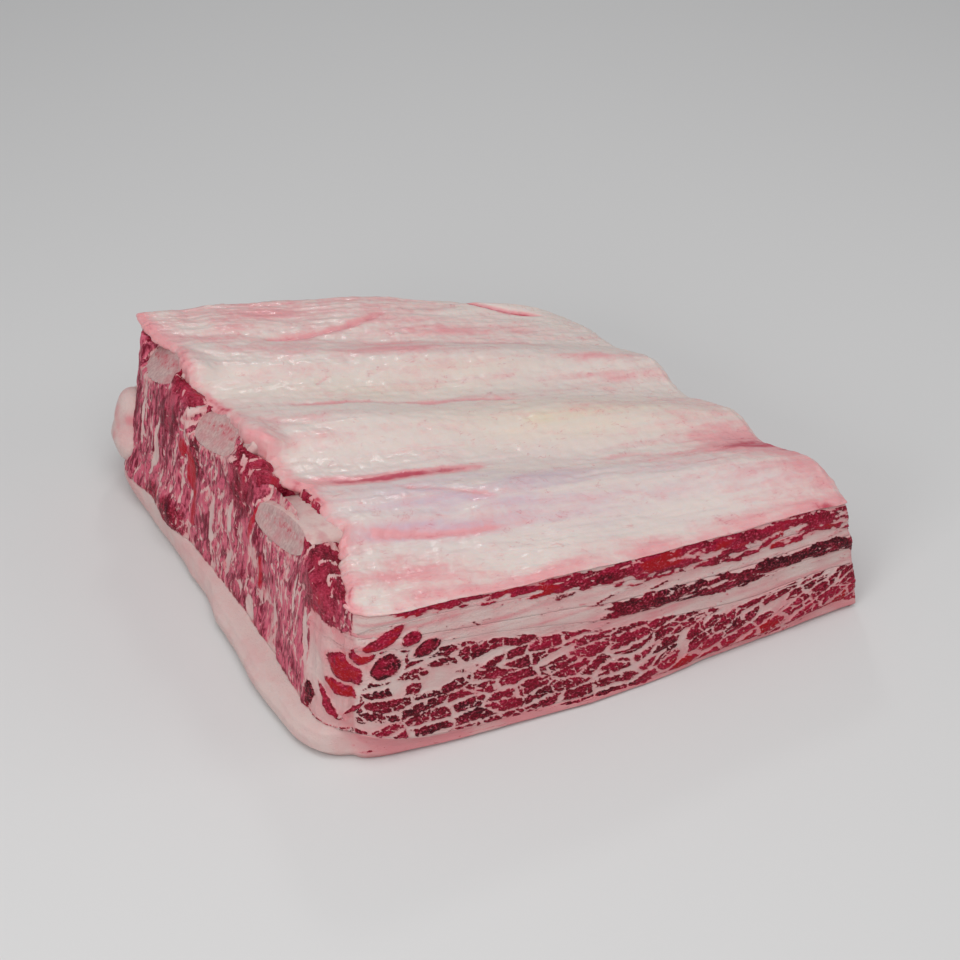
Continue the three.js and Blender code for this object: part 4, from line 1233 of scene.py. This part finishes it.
# %% A small helper for node trees
class Tree:
    """Short ways to add and join nodes in one material."""

    def __init__(self, name):
        self.material = bpy.data.materials.new(name)
        self.material.use_nodes = True
        self.nodes, self.links = self.material.node_tree.nodes, self.material.node_tree.links
        self.shader = self.nodes["Principled BSDF"]
        self.place = self.nodes.new("ShaderNodeTexCoord").outputs["Object"]

    def put(self, socket, value):
        if hasattr(value, "is_output"):
            self.links.new(value, socket)
        else:
            socket.default_value = value

    def field(self, name):
        node = self.nodes.new("ShaderNodeAttribute")
        node.attribute_name = name
        return node.outputs["Fac"]

    def math(self, kind, a, b=0.5, clamp=False):
        node = self.nodes.new("ShaderNodeMath")
        node.operation, node.use_clamp = kind, clamp
        self.put(node.inputs[0], a)
        self.put(node.inputs[1], b)
        return node.outputs[0]

    def times(self, a, b):
        return self.math("MULTIPLY", a, b)

    def plus(self, a, b, clamp=False):
        return self.math("ADD", a, b, clamp)

    def minus(self, a, b):
        return self.math("SUBTRACT", a, b)

    def stretched(self, scale, turn=(0, 0, 0)):
        node = self.nodes.new("ShaderNodeMapping")
        self.links.new(self.place, node.inputs["Vector"])
        node.inputs["Scale"].default_value = scale
        node.inputs["Rotation"].default_value = turn
        return node.outputs[0]

    def noise(self, scale, detail=3.0, rough=0.55, vector=None, distortion=0.0):
        node = self.nodes.new("ShaderNodeTexNoise")
        self.links.new(vector or self.place, node.inputs["Vector"])
        node.inputs["Scale"].default_value = scale
        node.inputs["Detail"].default_value = detail
        node.inputs["Roughness"].default_value = rough
        node.inputs["Distortion"].default_value = distortion
        return node.outputs["Fac"]

    def span(self, value, low, high, to_low=0.0, to_high=1.0, soft=True):
        node = self.nodes.new("ShaderNodeMapRange")
        node.interpolation_type = "SMOOTHSTEP" if soft else "LINEAR"
        self.put(node.inputs["Value"], value)
        for name, number in (("From Min", low), ("From Max", high), ("To Min", to_low), ("To Max", to_high)):
            node.inputs[name].default_value = number
        return node.outputs[0]

    def blend(self, share, a, b):
        node = self.nodes.new("ShaderNodeMix")
        node.data_type = "RGBA"
        self.put(node.inputs[0], share)
        self.put(node.inputs[6], a)
        self.put(node.inputs[7], b)
        return node.outputs[2]

    def mixed(self, share, a, b):
        node = self.nodes.new("ShaderNodeMix")
        node.data_type = "FLOAT"
        self.put(node.inputs[0], share)
        self.put(node.inputs[2], a)
        self.put(node.inputs[3], b)
        return node.outputs[0]

    def finish(self, colour, roughness, height, distance, depth, coat, wet, strength=0.6, shine=0.25):
        """Joins colour, roughness and bump, and sets the constants of a soft wet surface.

        distance is the bump's, in metres; depth is how much light goes in and how far; coat is how much film
        of moisture there is, and wet its roughness.
        """
        bump_node = self.nodes.new("ShaderNodeBump")
        bump_node.inputs["Strength"].default_value = strength
        bump_node.inputs["Distance"].default_value = distance
        self.links.new(height, bump_node.inputs["Height"])
        self.links.new(bump_node.outputs[0], self.shader.inputs["Normal"])
        self.links.new(colour, self.shader.inputs["Base Color"])
        self.put(self.shader.inputs["Roughness"], roughness)
        self.shader.inputs["Subsurface Weight"].default_value = depth[0]
        self.shader.inputs["Subsurface Radius"].default_value = (1.0, 0.35, 0.25)
        self.shader.inputs["Subsurface Scale"].default_value = depth[1]
        self.shader.inputs["Coat Weight"].default_value = coat
        self.shader.inputs["Coat Roughness"].default_value = wet
        self.shader.inputs["Coat IOR"].default_value = 1.36
        self.shader.inputs["Specular IOR Level"].default_value = shine
        self.material.use_backface_culling = False
        return self.material


# %% Cut meat and fat
DARK_RED = linear(52, 0, 10)
STRAND_RED = linear(122, 24, 48)
DEEP_RED = linear(118, 2, 28)
MAGENTA_RED = linear(160, 14, 52)
BRIGHT_RED = linear(160, 10, 22)
PINK_MEAT = linear(206, 96, 118)
PINK_FAT = linear(212, 138, 142)
PALE_FAT = linear(212, 186, 181)
BLOOD_RED = linear(176, 8, 32)


def cut_meat():
    """One finish for every cut layer: the fields decide what is meat and what is fat."""
    tree = Tree("cut_meat")
    end = tree.field("end")
    # Fibres: short flecks on the near face, long strands on the sawn end.
    flecks = tree.noise(1000, 3, 0.6, tree.stretched((1, 1, 1.3)), 0.5)
    strands = tree.noise(1000, 3, 0.65, tree.stretched((1, 1.0, 0.17)), 0.5)
    grain = tree.span(tree.mixed(end, flecks, strands), 0.30, 0.70, soft=False)
    off_middle = tree.minus(grain, 0.5)
    fat = tree.plus(tree.field("fat"), tree.times(off_middle, tree.mixed(end, 0.17, 0.26)))
    is_fat = tree.span(fat, 0.44, 0.56)
    tone = tree.plus(tree.field("tone"), tree.times(off_middle, 0.7))
    darkest = tree.blend(tree.times(end, 0.85), DARK_RED, STRAND_RED)
    meat = tree.blend(tree.span(tone, 0.0, 0.55), darkest, tree.blend(end, DEEP_RED, STRAND_RED))
    meat = tree.blend(tree.span(tone, 0.35, 0.9), meat, tree.blend(end, MAGENTA_RED, PINK_MEAT))
    bright = tree.times(tree.span(tree.field("tone"), 0.75, 1.0), tree.minus(1.0, end))
    meat = tree.blend(bright, meat, BRIGHT_RED)
    thread = tree.times(tree.span(grain, 0.62, 0.95), tree.mixed(end, 0.55, 0.65))
    meat = tree.blend(thread, meat, PINK_MEAT)
    flush = tree.times(tree.span(tree.noise(70, 3), 0.42, 0.66), 0.3)
    near_meat = tree.times(tree.span(fat, 0.85, 0.5), 0.5)
    flush = tree.math("MAXIMUM", flush, near_meat)
    pinkness = tree.plus(tree.span(tree.field("tone"), 0.2, 1.1), flush, clamp=True)
    fat_colour = tree.blend(pinkness, PALE_FAT, PINK_FAT)
    colour = tree.blend(is_fat, meat, fat_colour)
    bleeding = tree.times(tree.field("blood"), tree.span(grain, 1.0, 0.2, 0.6, 1.0))
    colour = tree.blend(bleeding, colour, BLOOD_RED)
    roughness = tree.mixed(is_fat, 0.36, 0.44)
    roughness = tree.plus(roughness, tree.times(tree.noise(300, 2), 0.12))
    height = tree.plus(tree.times(grain, 0.4), tree.times(tree.noise(1300, 2), 0.4))
    return tree.finish(colour, roughness, height, 0.0007, (0.10, 0.0015), 0.07, 0.1, shine=0.15)


meat_finish = cut_meat()
print("finish:", meat_finish.name, len(meat_finish.node_tree.nodes), "nodes")

# %% White skin
SKIN_WHITE = linear(220, 204, 197)
SKIN_PINK = linear(222, 154, 157)
SKIN_RED = linear(184, 46, 74)
SKIN_CREAM = linear(220, 204, 184)
SKIN_LILAC = linear(200, 178, 190)


def white_skin():
    """Membrane over fat: milky, with stains that run along the ribs."""
    tree = Tree("white_skin")
    streaks = tree.noise(95, 4, 0.6, tree.stretched((0.22, 1, 1), (0, 0, 0.08)), 0.6)
    mottle = tree.noise(170, 5, 0.65, None, 0.6)
    pink = tree.plus(tree.field("pink"), tree.times(tree.minus(streaks, 0.5), 1.1))
    pink = tree.plus(pink, tree.times(tree.minus(mottle, 0.5), 0.8))
    colour = tree.blend(tree.field("cream"), SKIN_WHITE, SKIN_CREAM)
    lilac = tree.times(tree.field("lilac"), tree.span(streaks, 0.3, 0.6))
    colour = tree.blend(lilac, colour, SKIN_LILAC)
    colour = tree.blend(tree.span(pink, 0.02, 0.8, 0.0, 0.95), colour, SKIN_PINK)
    colour = tree.blend(tree.span(pink, 0.8, 1.4, 0.0, 0.9), colour, SKIN_RED)
    veins = tree.noise(60, 5, 0.62, tree.stretched((0.5, 1, 1)), 1.6)
    off_line = tree.math("ABSOLUTE", tree.minus(veins, 0.5))
    vein = tree.times(tree.span(off_line, 0.0, 0.012, 1.0, 0.0), tree.span(mottle, 0.5, 0.62))
    colour = tree.blend(tree.times(vein, 0.35), colour, SKIN_RED)
    roughness = tree.span(tree.noise(45, 3), 0.3, 0.7, 0.28, 0.5)
    fine = tree.noise(420, 3, 0.6, tree.stretched((0.3, 1, 1)))
    height = tree.plus(tree.times(streaks, 0.6), tree.times(fine, 0.25))
    return tree.finish(colour, roughness, height, 0.0006, (0.25, 0.0025), 0.2, 0.1, strength=0.45)


skin_finish = white_skin()
print("finish:", skin_finish.name, len(skin_finish.node_tree.nodes), "nodes")

# %% Sawn bone
BONE_GREY = linear(182, 146, 144)
BONE_CREAM = linear(212, 184, 178)
MARROW_PINK = linear(194, 112, 120)
MARROW_RED = linear(170, 44, 56)


def sawn_bone():
    """Hard grey rim with saw lines, a pink spongy middle, and a cream back."""
    tree = Tree("sawn_bone")
    lines = tree.noise(1100, 2, 0.5, tree.stretched((1, 1, 0.02)))
    sponge = tree.noise(420, 3, 0.65)
    up = tree.math("ABSOLUTE", tree.minus(tree.field("b"), 0.12))
    across = tree.math("POWER", tree.math("ABSOLUTE", tree.field("a")), 3.0)
    middle = tree.plus(up, tree.times(across, 0.6))
    marrow = tree.times(tree.span(middle, 0.42, 0.1), tree.field("sawn"))
    colour = tree.blend(tree.span(lines, 0.3, 0.7, 0.0, 0.6), BONE_GREY, BONE_CREAM)
    back = tree.minus(1.0, tree.field("sawn"))
    colour = tree.blend(tree.times(back, 0.8), colour, BONE_CREAM)
    pink = tree.times(marrow, tree.span(sponge, 0.4, 0.62))
    colour = tree.blend(tree.times(pink, 0.85), colour, MARROW_PINK)
    red = tree.times(marrow, tree.span(sponge, 0.58, 0.7))
    colour = tree.blend(red, colour, MARROW_RED)
    stain = tree.times(tree.span(tree.noise(150, 4), 0.45, 0.7), 0.5)
    colour = tree.blend(stain, colour, MARROW_PINK)
    roughness = tree.span(sponge, 0.3, 0.7, 0.4, 0.6)
    height = tree.plus(tree.times(lines, 0.35), tree.times(sponge, 0.3))
    return tree.finish(colour, roughness, height, 0.0003, (0.15, 0.002), 0.1, 0.2)


bone_finish = sawn_bone()
print("finish:", bone_finish.name, len(bone_finish.node_tree.nodes), "nodes")

# %% [markdown]
# ## Fine wrinkles and loose crumbs with Geometry Nodes
# Two things follow a rule on a surface, so Geometry Nodes make them. Stretched skin gathers into fine
# ripples along the ribs: one tree pushes the skin's points in and out by noise, with its length and height
# as named inputs. The saw and the knife leave crumbs of fat on the cut faces: another tree scatters
# uneven grains there, most where the fat is, with a fixed seed. Their pale fat colour also stands in
# for the small glints of the wet meat, so the grains are partly painted highlights.

# %% A node tree with named inputs
def new_tree(name, sizes):
    """An empty tree with a geometry input, one input for each size, and its group nodes."""
    tree = bpy.data.node_groups.new(name, "GeometryNodeTree")
    tree.interface.new_socket("Geometry", in_out="INPUT", socket_type="NodeSocketGeometry")
    for label, number in sizes.items():
        kind = "NodeSocketInt" if isinstance(number, int) else "NodeSocketFloat"
        tree.interface.new_socket(label, in_out="INPUT", socket_type=kind).default_value = number
    tree.interface.new_socket("Geometry", in_out="OUTPUT", socket_type="NodeSocketGeometry")
    return tree, tree.nodes.new("NodeGroupInput"), tree.nodes.new("NodeGroupOutput")


def add(tree, kind, inputs=None, **settings):
    """A node with its settings, and its inputs joined or set."""
    node = tree.nodes.new(kind)
    for setting, value in settings.items():
        setattr(node, setting, value)
    for key, value in (inputs or {}).items():
        if hasattr(value, "is_output"):
            tree.links.new(value, node.inputs[key])
        else:
            node.inputs[key].default_value = value
    return node


def calc(tree, operation, a, b=0.5):
    """The result of one operation on numbers."""
    return add(tree, "ShaderNodeMath", {0: a, 1: b}, operation=operation).outputs[0]


def calc_vector(tree, operation, a, other):
    """The result of one operation on a vector and another vector, or a number to scale it by."""
    key = "Scale" if operation == "SCALE" else 1
    return add(tree, "ShaderNodeVectorMath", {0: a, key: other}, operation=operation).outputs[0]


def mapped(tree, value, low, high):
    """A value's place between low and high, kept from 0 to 1."""
    return add(tree, "ShaderNodeMapRange", {"Value": value, "From Min": low, "From Max": high}).outputs[0]


def end_tree(tree, output, geometry, material):
    """Realize Instances and Set Material, then the output."""
    real = add(tree, "GeometryNodeRealizeInstances", {"Geometry": geometry})
    dressed = add(tree, "GeometryNodeSetMaterial", {"Geometry": real.outputs[0], "Material": material})
    tree.links.new(dressed.outputs[0], output.inputs[0])


def grow(piece, tree, sizes):
    """Runs a tree on a piece with the given sizes, and keeps the result as its mesh."""
    modifier = piece.modifiers.new(tree.name, "NODES")
    modifier.node_group = tree
    for item in tree.interface.items_tree:
        if item.in_out == "INPUT" and item.name in sizes:
            modifier[item.identifier] = sizes[item.name]
    return applied(piece)


# %% Ripples in the skin
# Sizes in millimetres.
RIPPLES = {"Height": 0.26, "Length": 26.0, "Spacing": 2.6, "Pucker": 0.22, "Seed": 3.0}
PUCKER_SCALE = 0.28
# Noise keeps near its middle, so a push of the height asked for needs this much more.
NOISE_GAIN = 4


def ripple_tree(material):
    """Pushes the skin's points along their normals by a long noise and a round one."""
    tree, sizes, output = new_tree("skin_ripples", RIPPLES)
    place = add(tree, "GeometryNodeInputPosition").outputs[0]
    in_mm = calc_vector(tree, "SCALE", place, 1 / MM)
    stretch = add(tree, "ShaderNodeCombineXYZ", {0: sizes.outputs["Length"], 1: sizes.outputs["Spacing"],
                                                 2: sizes.outputs["Spacing"]}).outputs[0]
    along_ribs = calc_vector(tree, "DIVIDE", in_mm, stretch)
    pushes = []
    waves = (("Height", along_ribs, 1.0, 2.0), ("Pucker", in_mm, PUCKER_SCALE, 3.0))
    for size, where, scale, detail in waves:
        noise = add(tree, "ShaderNodeTexNoise", {"Vector": where, "W": sizes.outputs["Seed"], "Scale": scale,
                                                 "Detail": detail}, noise_dimensions="4D").outputs[0]
        sized = calc(tree, "MULTIPLY", calc(tree, "SUBTRACT", noise), sizes.outputs[size])
        pushes.append(calc(tree, "MULTIPLY", sized, NOISE_GAIN * MM))
    push = calc(tree, "ADD", *pushes)
    normal = add(tree, "GeometryNodeInputNormal").outputs[0]
    offset = calc_vector(tree, "SCALE", normal, push)
    moved = add(tree, "GeometryNodeSetPosition", {"Geometry": sizes.outputs["Geometry"], "Offset": offset})
    end_tree(tree, output, moved.outputs[0], material)
    return tree


grow(pieces["membrane_cover"], ripple_tree(skin_finish), RIPPLES)
print("skin rippled:", len(pieces["membrane_cover"].data.vertices), "points")

# %% Crumbs of fat on the cut faces, partly standing in for glints as painted highlights
CRUMB_AND_GLINT_SIZES = {"Per square metre": 26000.0, "Radius": 0.5, "Unevenness": 0.35, "Seed": 7}
PATCH_SCALE, LUMP_SCALE = 60.0, 1400.0
SMALLEST_GRAIN, LARGEST_GRAIN = (0.35, 0.35, 0.3), (1.3, 1.1, 0.8)


def crumb_and_glint_tree(material):
    """Scatters uneven grains on upright fat, in patches: crumbs of fat, which also stand in for glints as
    painted highlights. A grain has 80 faces.
    """
    tree, sizes, output = new_tree("fat_crumbs_and_glints", CRUMB_AND_GLINT_SIZES)
    fat = add(tree, "GeometryNodeInputNamedAttribute", {"Name": "fat"}, data_type="FLOAT").outputs[0]
    on_fat = mapped(tree, fat, 0.45, 0.6)
    normal = add(tree, "GeometryNodeInputNormal").outputs[0]
    upright = add(tree, "ShaderNodeSeparateXYZ", {0: normal}).outputs[2]
    at_side = mapped(tree, calc(tree, "ABSOLUTE", upright), 0.8, 0.5)
    place = add(tree, "GeometryNodeInputPosition").outputs[0]
    patches = add(tree, "ShaderNodeTexNoise", {"Vector": place, "Scale": PATCH_SCALE}).outputs[0]
    density = on_fat
    for share in (at_side, mapped(tree, patches, 0.5, 0.7), sizes.outputs["Per square metre"]):
        density = calc(tree, "MULTIPLY", density, share)
    points = add(tree, "GeometryNodeDistributePointsOnFaces",
                 {"Mesh": sizes.outputs["Geometry"], "Density": density, "Seed": sizes.outputs["Seed"]})
    radius = calc(tree, "MULTIPLY", sizes.outputs["Radius"], MM)
    grain = add(tree, "GeometryNodeMeshIcoSphere", {"Radius": radius, "Subdivisions": 2}).outputs[0]
    size = add(tree, "FunctionNodeRandomValue", {"Seed": sizes.outputs["Seed"]}, data_type="FLOAT_VECTOR")
    size.inputs[0].default_value = SMALLEST_GRAIN
    size.inputs[1].default_value = LARGEST_GRAIN
    grains = add(tree, "GeometryNodeInstanceOnPoints",
                 {"Points": points.outputs["Points"], "Instance": grain,
                  "Rotation": points.outputs["Rotation"], "Scale": size.outputs[0]})
    loose = add(tree, "GeometryNodeRealizeInstances", {"Geometry": grains.outputs[0]}).outputs[0]
    lumps = add(tree, "ShaderNodeTexNoise", {"Vector": place, "Scale": LUMP_SCALE}).outputs["Color"]
    centred = calc_vector(tree, "SUBTRACT", lumps, (0.5, 0.5, 0.5))
    reach = calc(tree, "MULTIPLY", sizes.outputs["Unevenness"], NOISE_GAIN * MM)
    offset = calc_vector(tree, "SCALE", centred, reach)
    uneven_grains = add(tree, "GeometryNodeSetPosition", {"Geometry": loose, "Offset": offset})
    smooth_grains = add(tree, "GeometryNodeSetShadeSmooth", {"Geometry": uneven_grains.outputs[0]})
    end_tree(tree, output, smooth_grains.outputs[0], material)
    return tree


# %% Scatter the crumbs on copies of four layers
hosts = []
for node in ("main_muscle", "intercostal_meat", "fat_seam_lower", "fat_seam_upper"):
    host = pieces[node].copy()
    host.data = pieces[node].data.copy()
    bpy.context.scene.collection.objects.link(host)
    hosts.append(host)
crumbs = join_pieces(hosts[0], hosts[1:])
crumbs.name = crumbs.data.name = "crumbs_of_fat_and_glints"
grow(crumbs, crumb_and_glint_tree(meat_finish), CRUMB_AND_GLINT_SIZES)
# Pale fat colour: real crumbs of fat, and painted highlights where the wet surface would glint.
set_fields(crumbs.data, {"fat": 0.95, "tone": 0.15, "blood": 0.0, "end": 0.0})
print("crumbs of fat:", len(crumbs.data.polygons), "triangles")
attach(crumbs, "root")

# %% Dress every piece and let it stand for its node
SLOTS = {
    "membrane_cover": "skin", "intercostal_meat": "dark_meat", "fat_seam_upper": "fat",
    "thin_muscle": "dark_meat", "fat_seam_lower": "fat", "main_muscle": "marbled_meat", "fat_cap": "fat",
    "bone_1": "bone", "bone_2": "bone", "bone_3": "bone",
}
for node, piece in pieces.items():
    slot = SLOTS[node]
    finish = {"skin": skin_finish, "bone": bone_finish}.get(slot, meat_finish)
    piece.data.materials.clear()
    piece.data.materials.append(finish)
    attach(piece, "root")
    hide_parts(node)
print(len(pieces), "pieces dressed")

# %% [markdown]
# ## Floor and light
# The slab lies on a plain pale floor, under four lamps: a broad one above and in front, a lower one on the
# side of the sawn end so that its strands can be read, a weak fill from the right, and a small one behind.
# Wet skin needs a small lamp to give sharp glints; the broad ones alone would leave it chalky.

# %% Floor
FLOOR_HALF = 3.0
# Just under the slab, so that the two surfaces don't share a plane.
FLOOR_DROP = 0.0003
floor = bpy.data.objects.new("floor", bpy.data.meshes.new("floor"))
corners = [(-FLOOR_HALF, -FLOOR_HALF, 0), (FLOOR_HALF, -FLOOR_HALF, 0), (FLOOR_HALF, FLOOR_HALF, 0),
           (-FLOOR_HALF, FLOOR_HALF, 0)]
floor.data.from_pydata(corners, [], [(0, 1, 2, 3)])
bpy.context.scene.collection.objects.link(floor)
paint = Tree("floor_paint")
paint.shader.inputs["Base Color"].default_value = linear(214, 213, 212)
paint.shader.inputs["Roughness"].default_value = 0.8
floor.data.materials.append(paint.material)
floor.location.z = -FLOOR_DROP
print("floor", 2 * FLOOR_HALF, "m wide")

# %% Lamps
# Name, place, size, watts, and the height that it is aimed at.
LAMPS = [
    ("top_lamp", (-0.15, -0.35, 1.0), 0.9, 5.9, 0.03),
    ("front_lamp", (-0.85, -0.7, 0.55), 0.5, 3.6, 0.03),
    ("right_lamp", (0.9, -0.5, 0.6), 0.6, 1.4, 0.03),
    ("glint_lamp", (0.25, 0.75, 0.75), 0.12, 0.7, 0.05),
]
SKY_COLOUR = (0.9, 0.92, 0.95, 1)
SKY_STRENGTH = 0.34
for name, at, size, watts, aim in LAMPS:
    lamp = bpy.data.objects.new(name, bpy.data.lights.new(name, "AREA"))
    lamp.data.energy, lamp.data.size = watts, size
    lamp.location = at
    lamp.rotation_euler = (Vector((0, 0, aim)) - Vector(at)).to_track_quat("-Z", "Y").to_euler()
    bpy.context.scene.collection.objects.link(lamp)
world = bpy.data.worlds.new("studio")
world.use_nodes = True
world.node_tree.nodes["Background"].inputs["Color"].default_value = SKY_COLOUR
world.node_tree.nodes["Background"].inputs["Strength"].default_value = SKY_STRENGTH
bpy.context.scene.world = world
bpy.context.scene.view_settings.view_transform = "Standard"
print(len(LAMPS), "lamps lit")
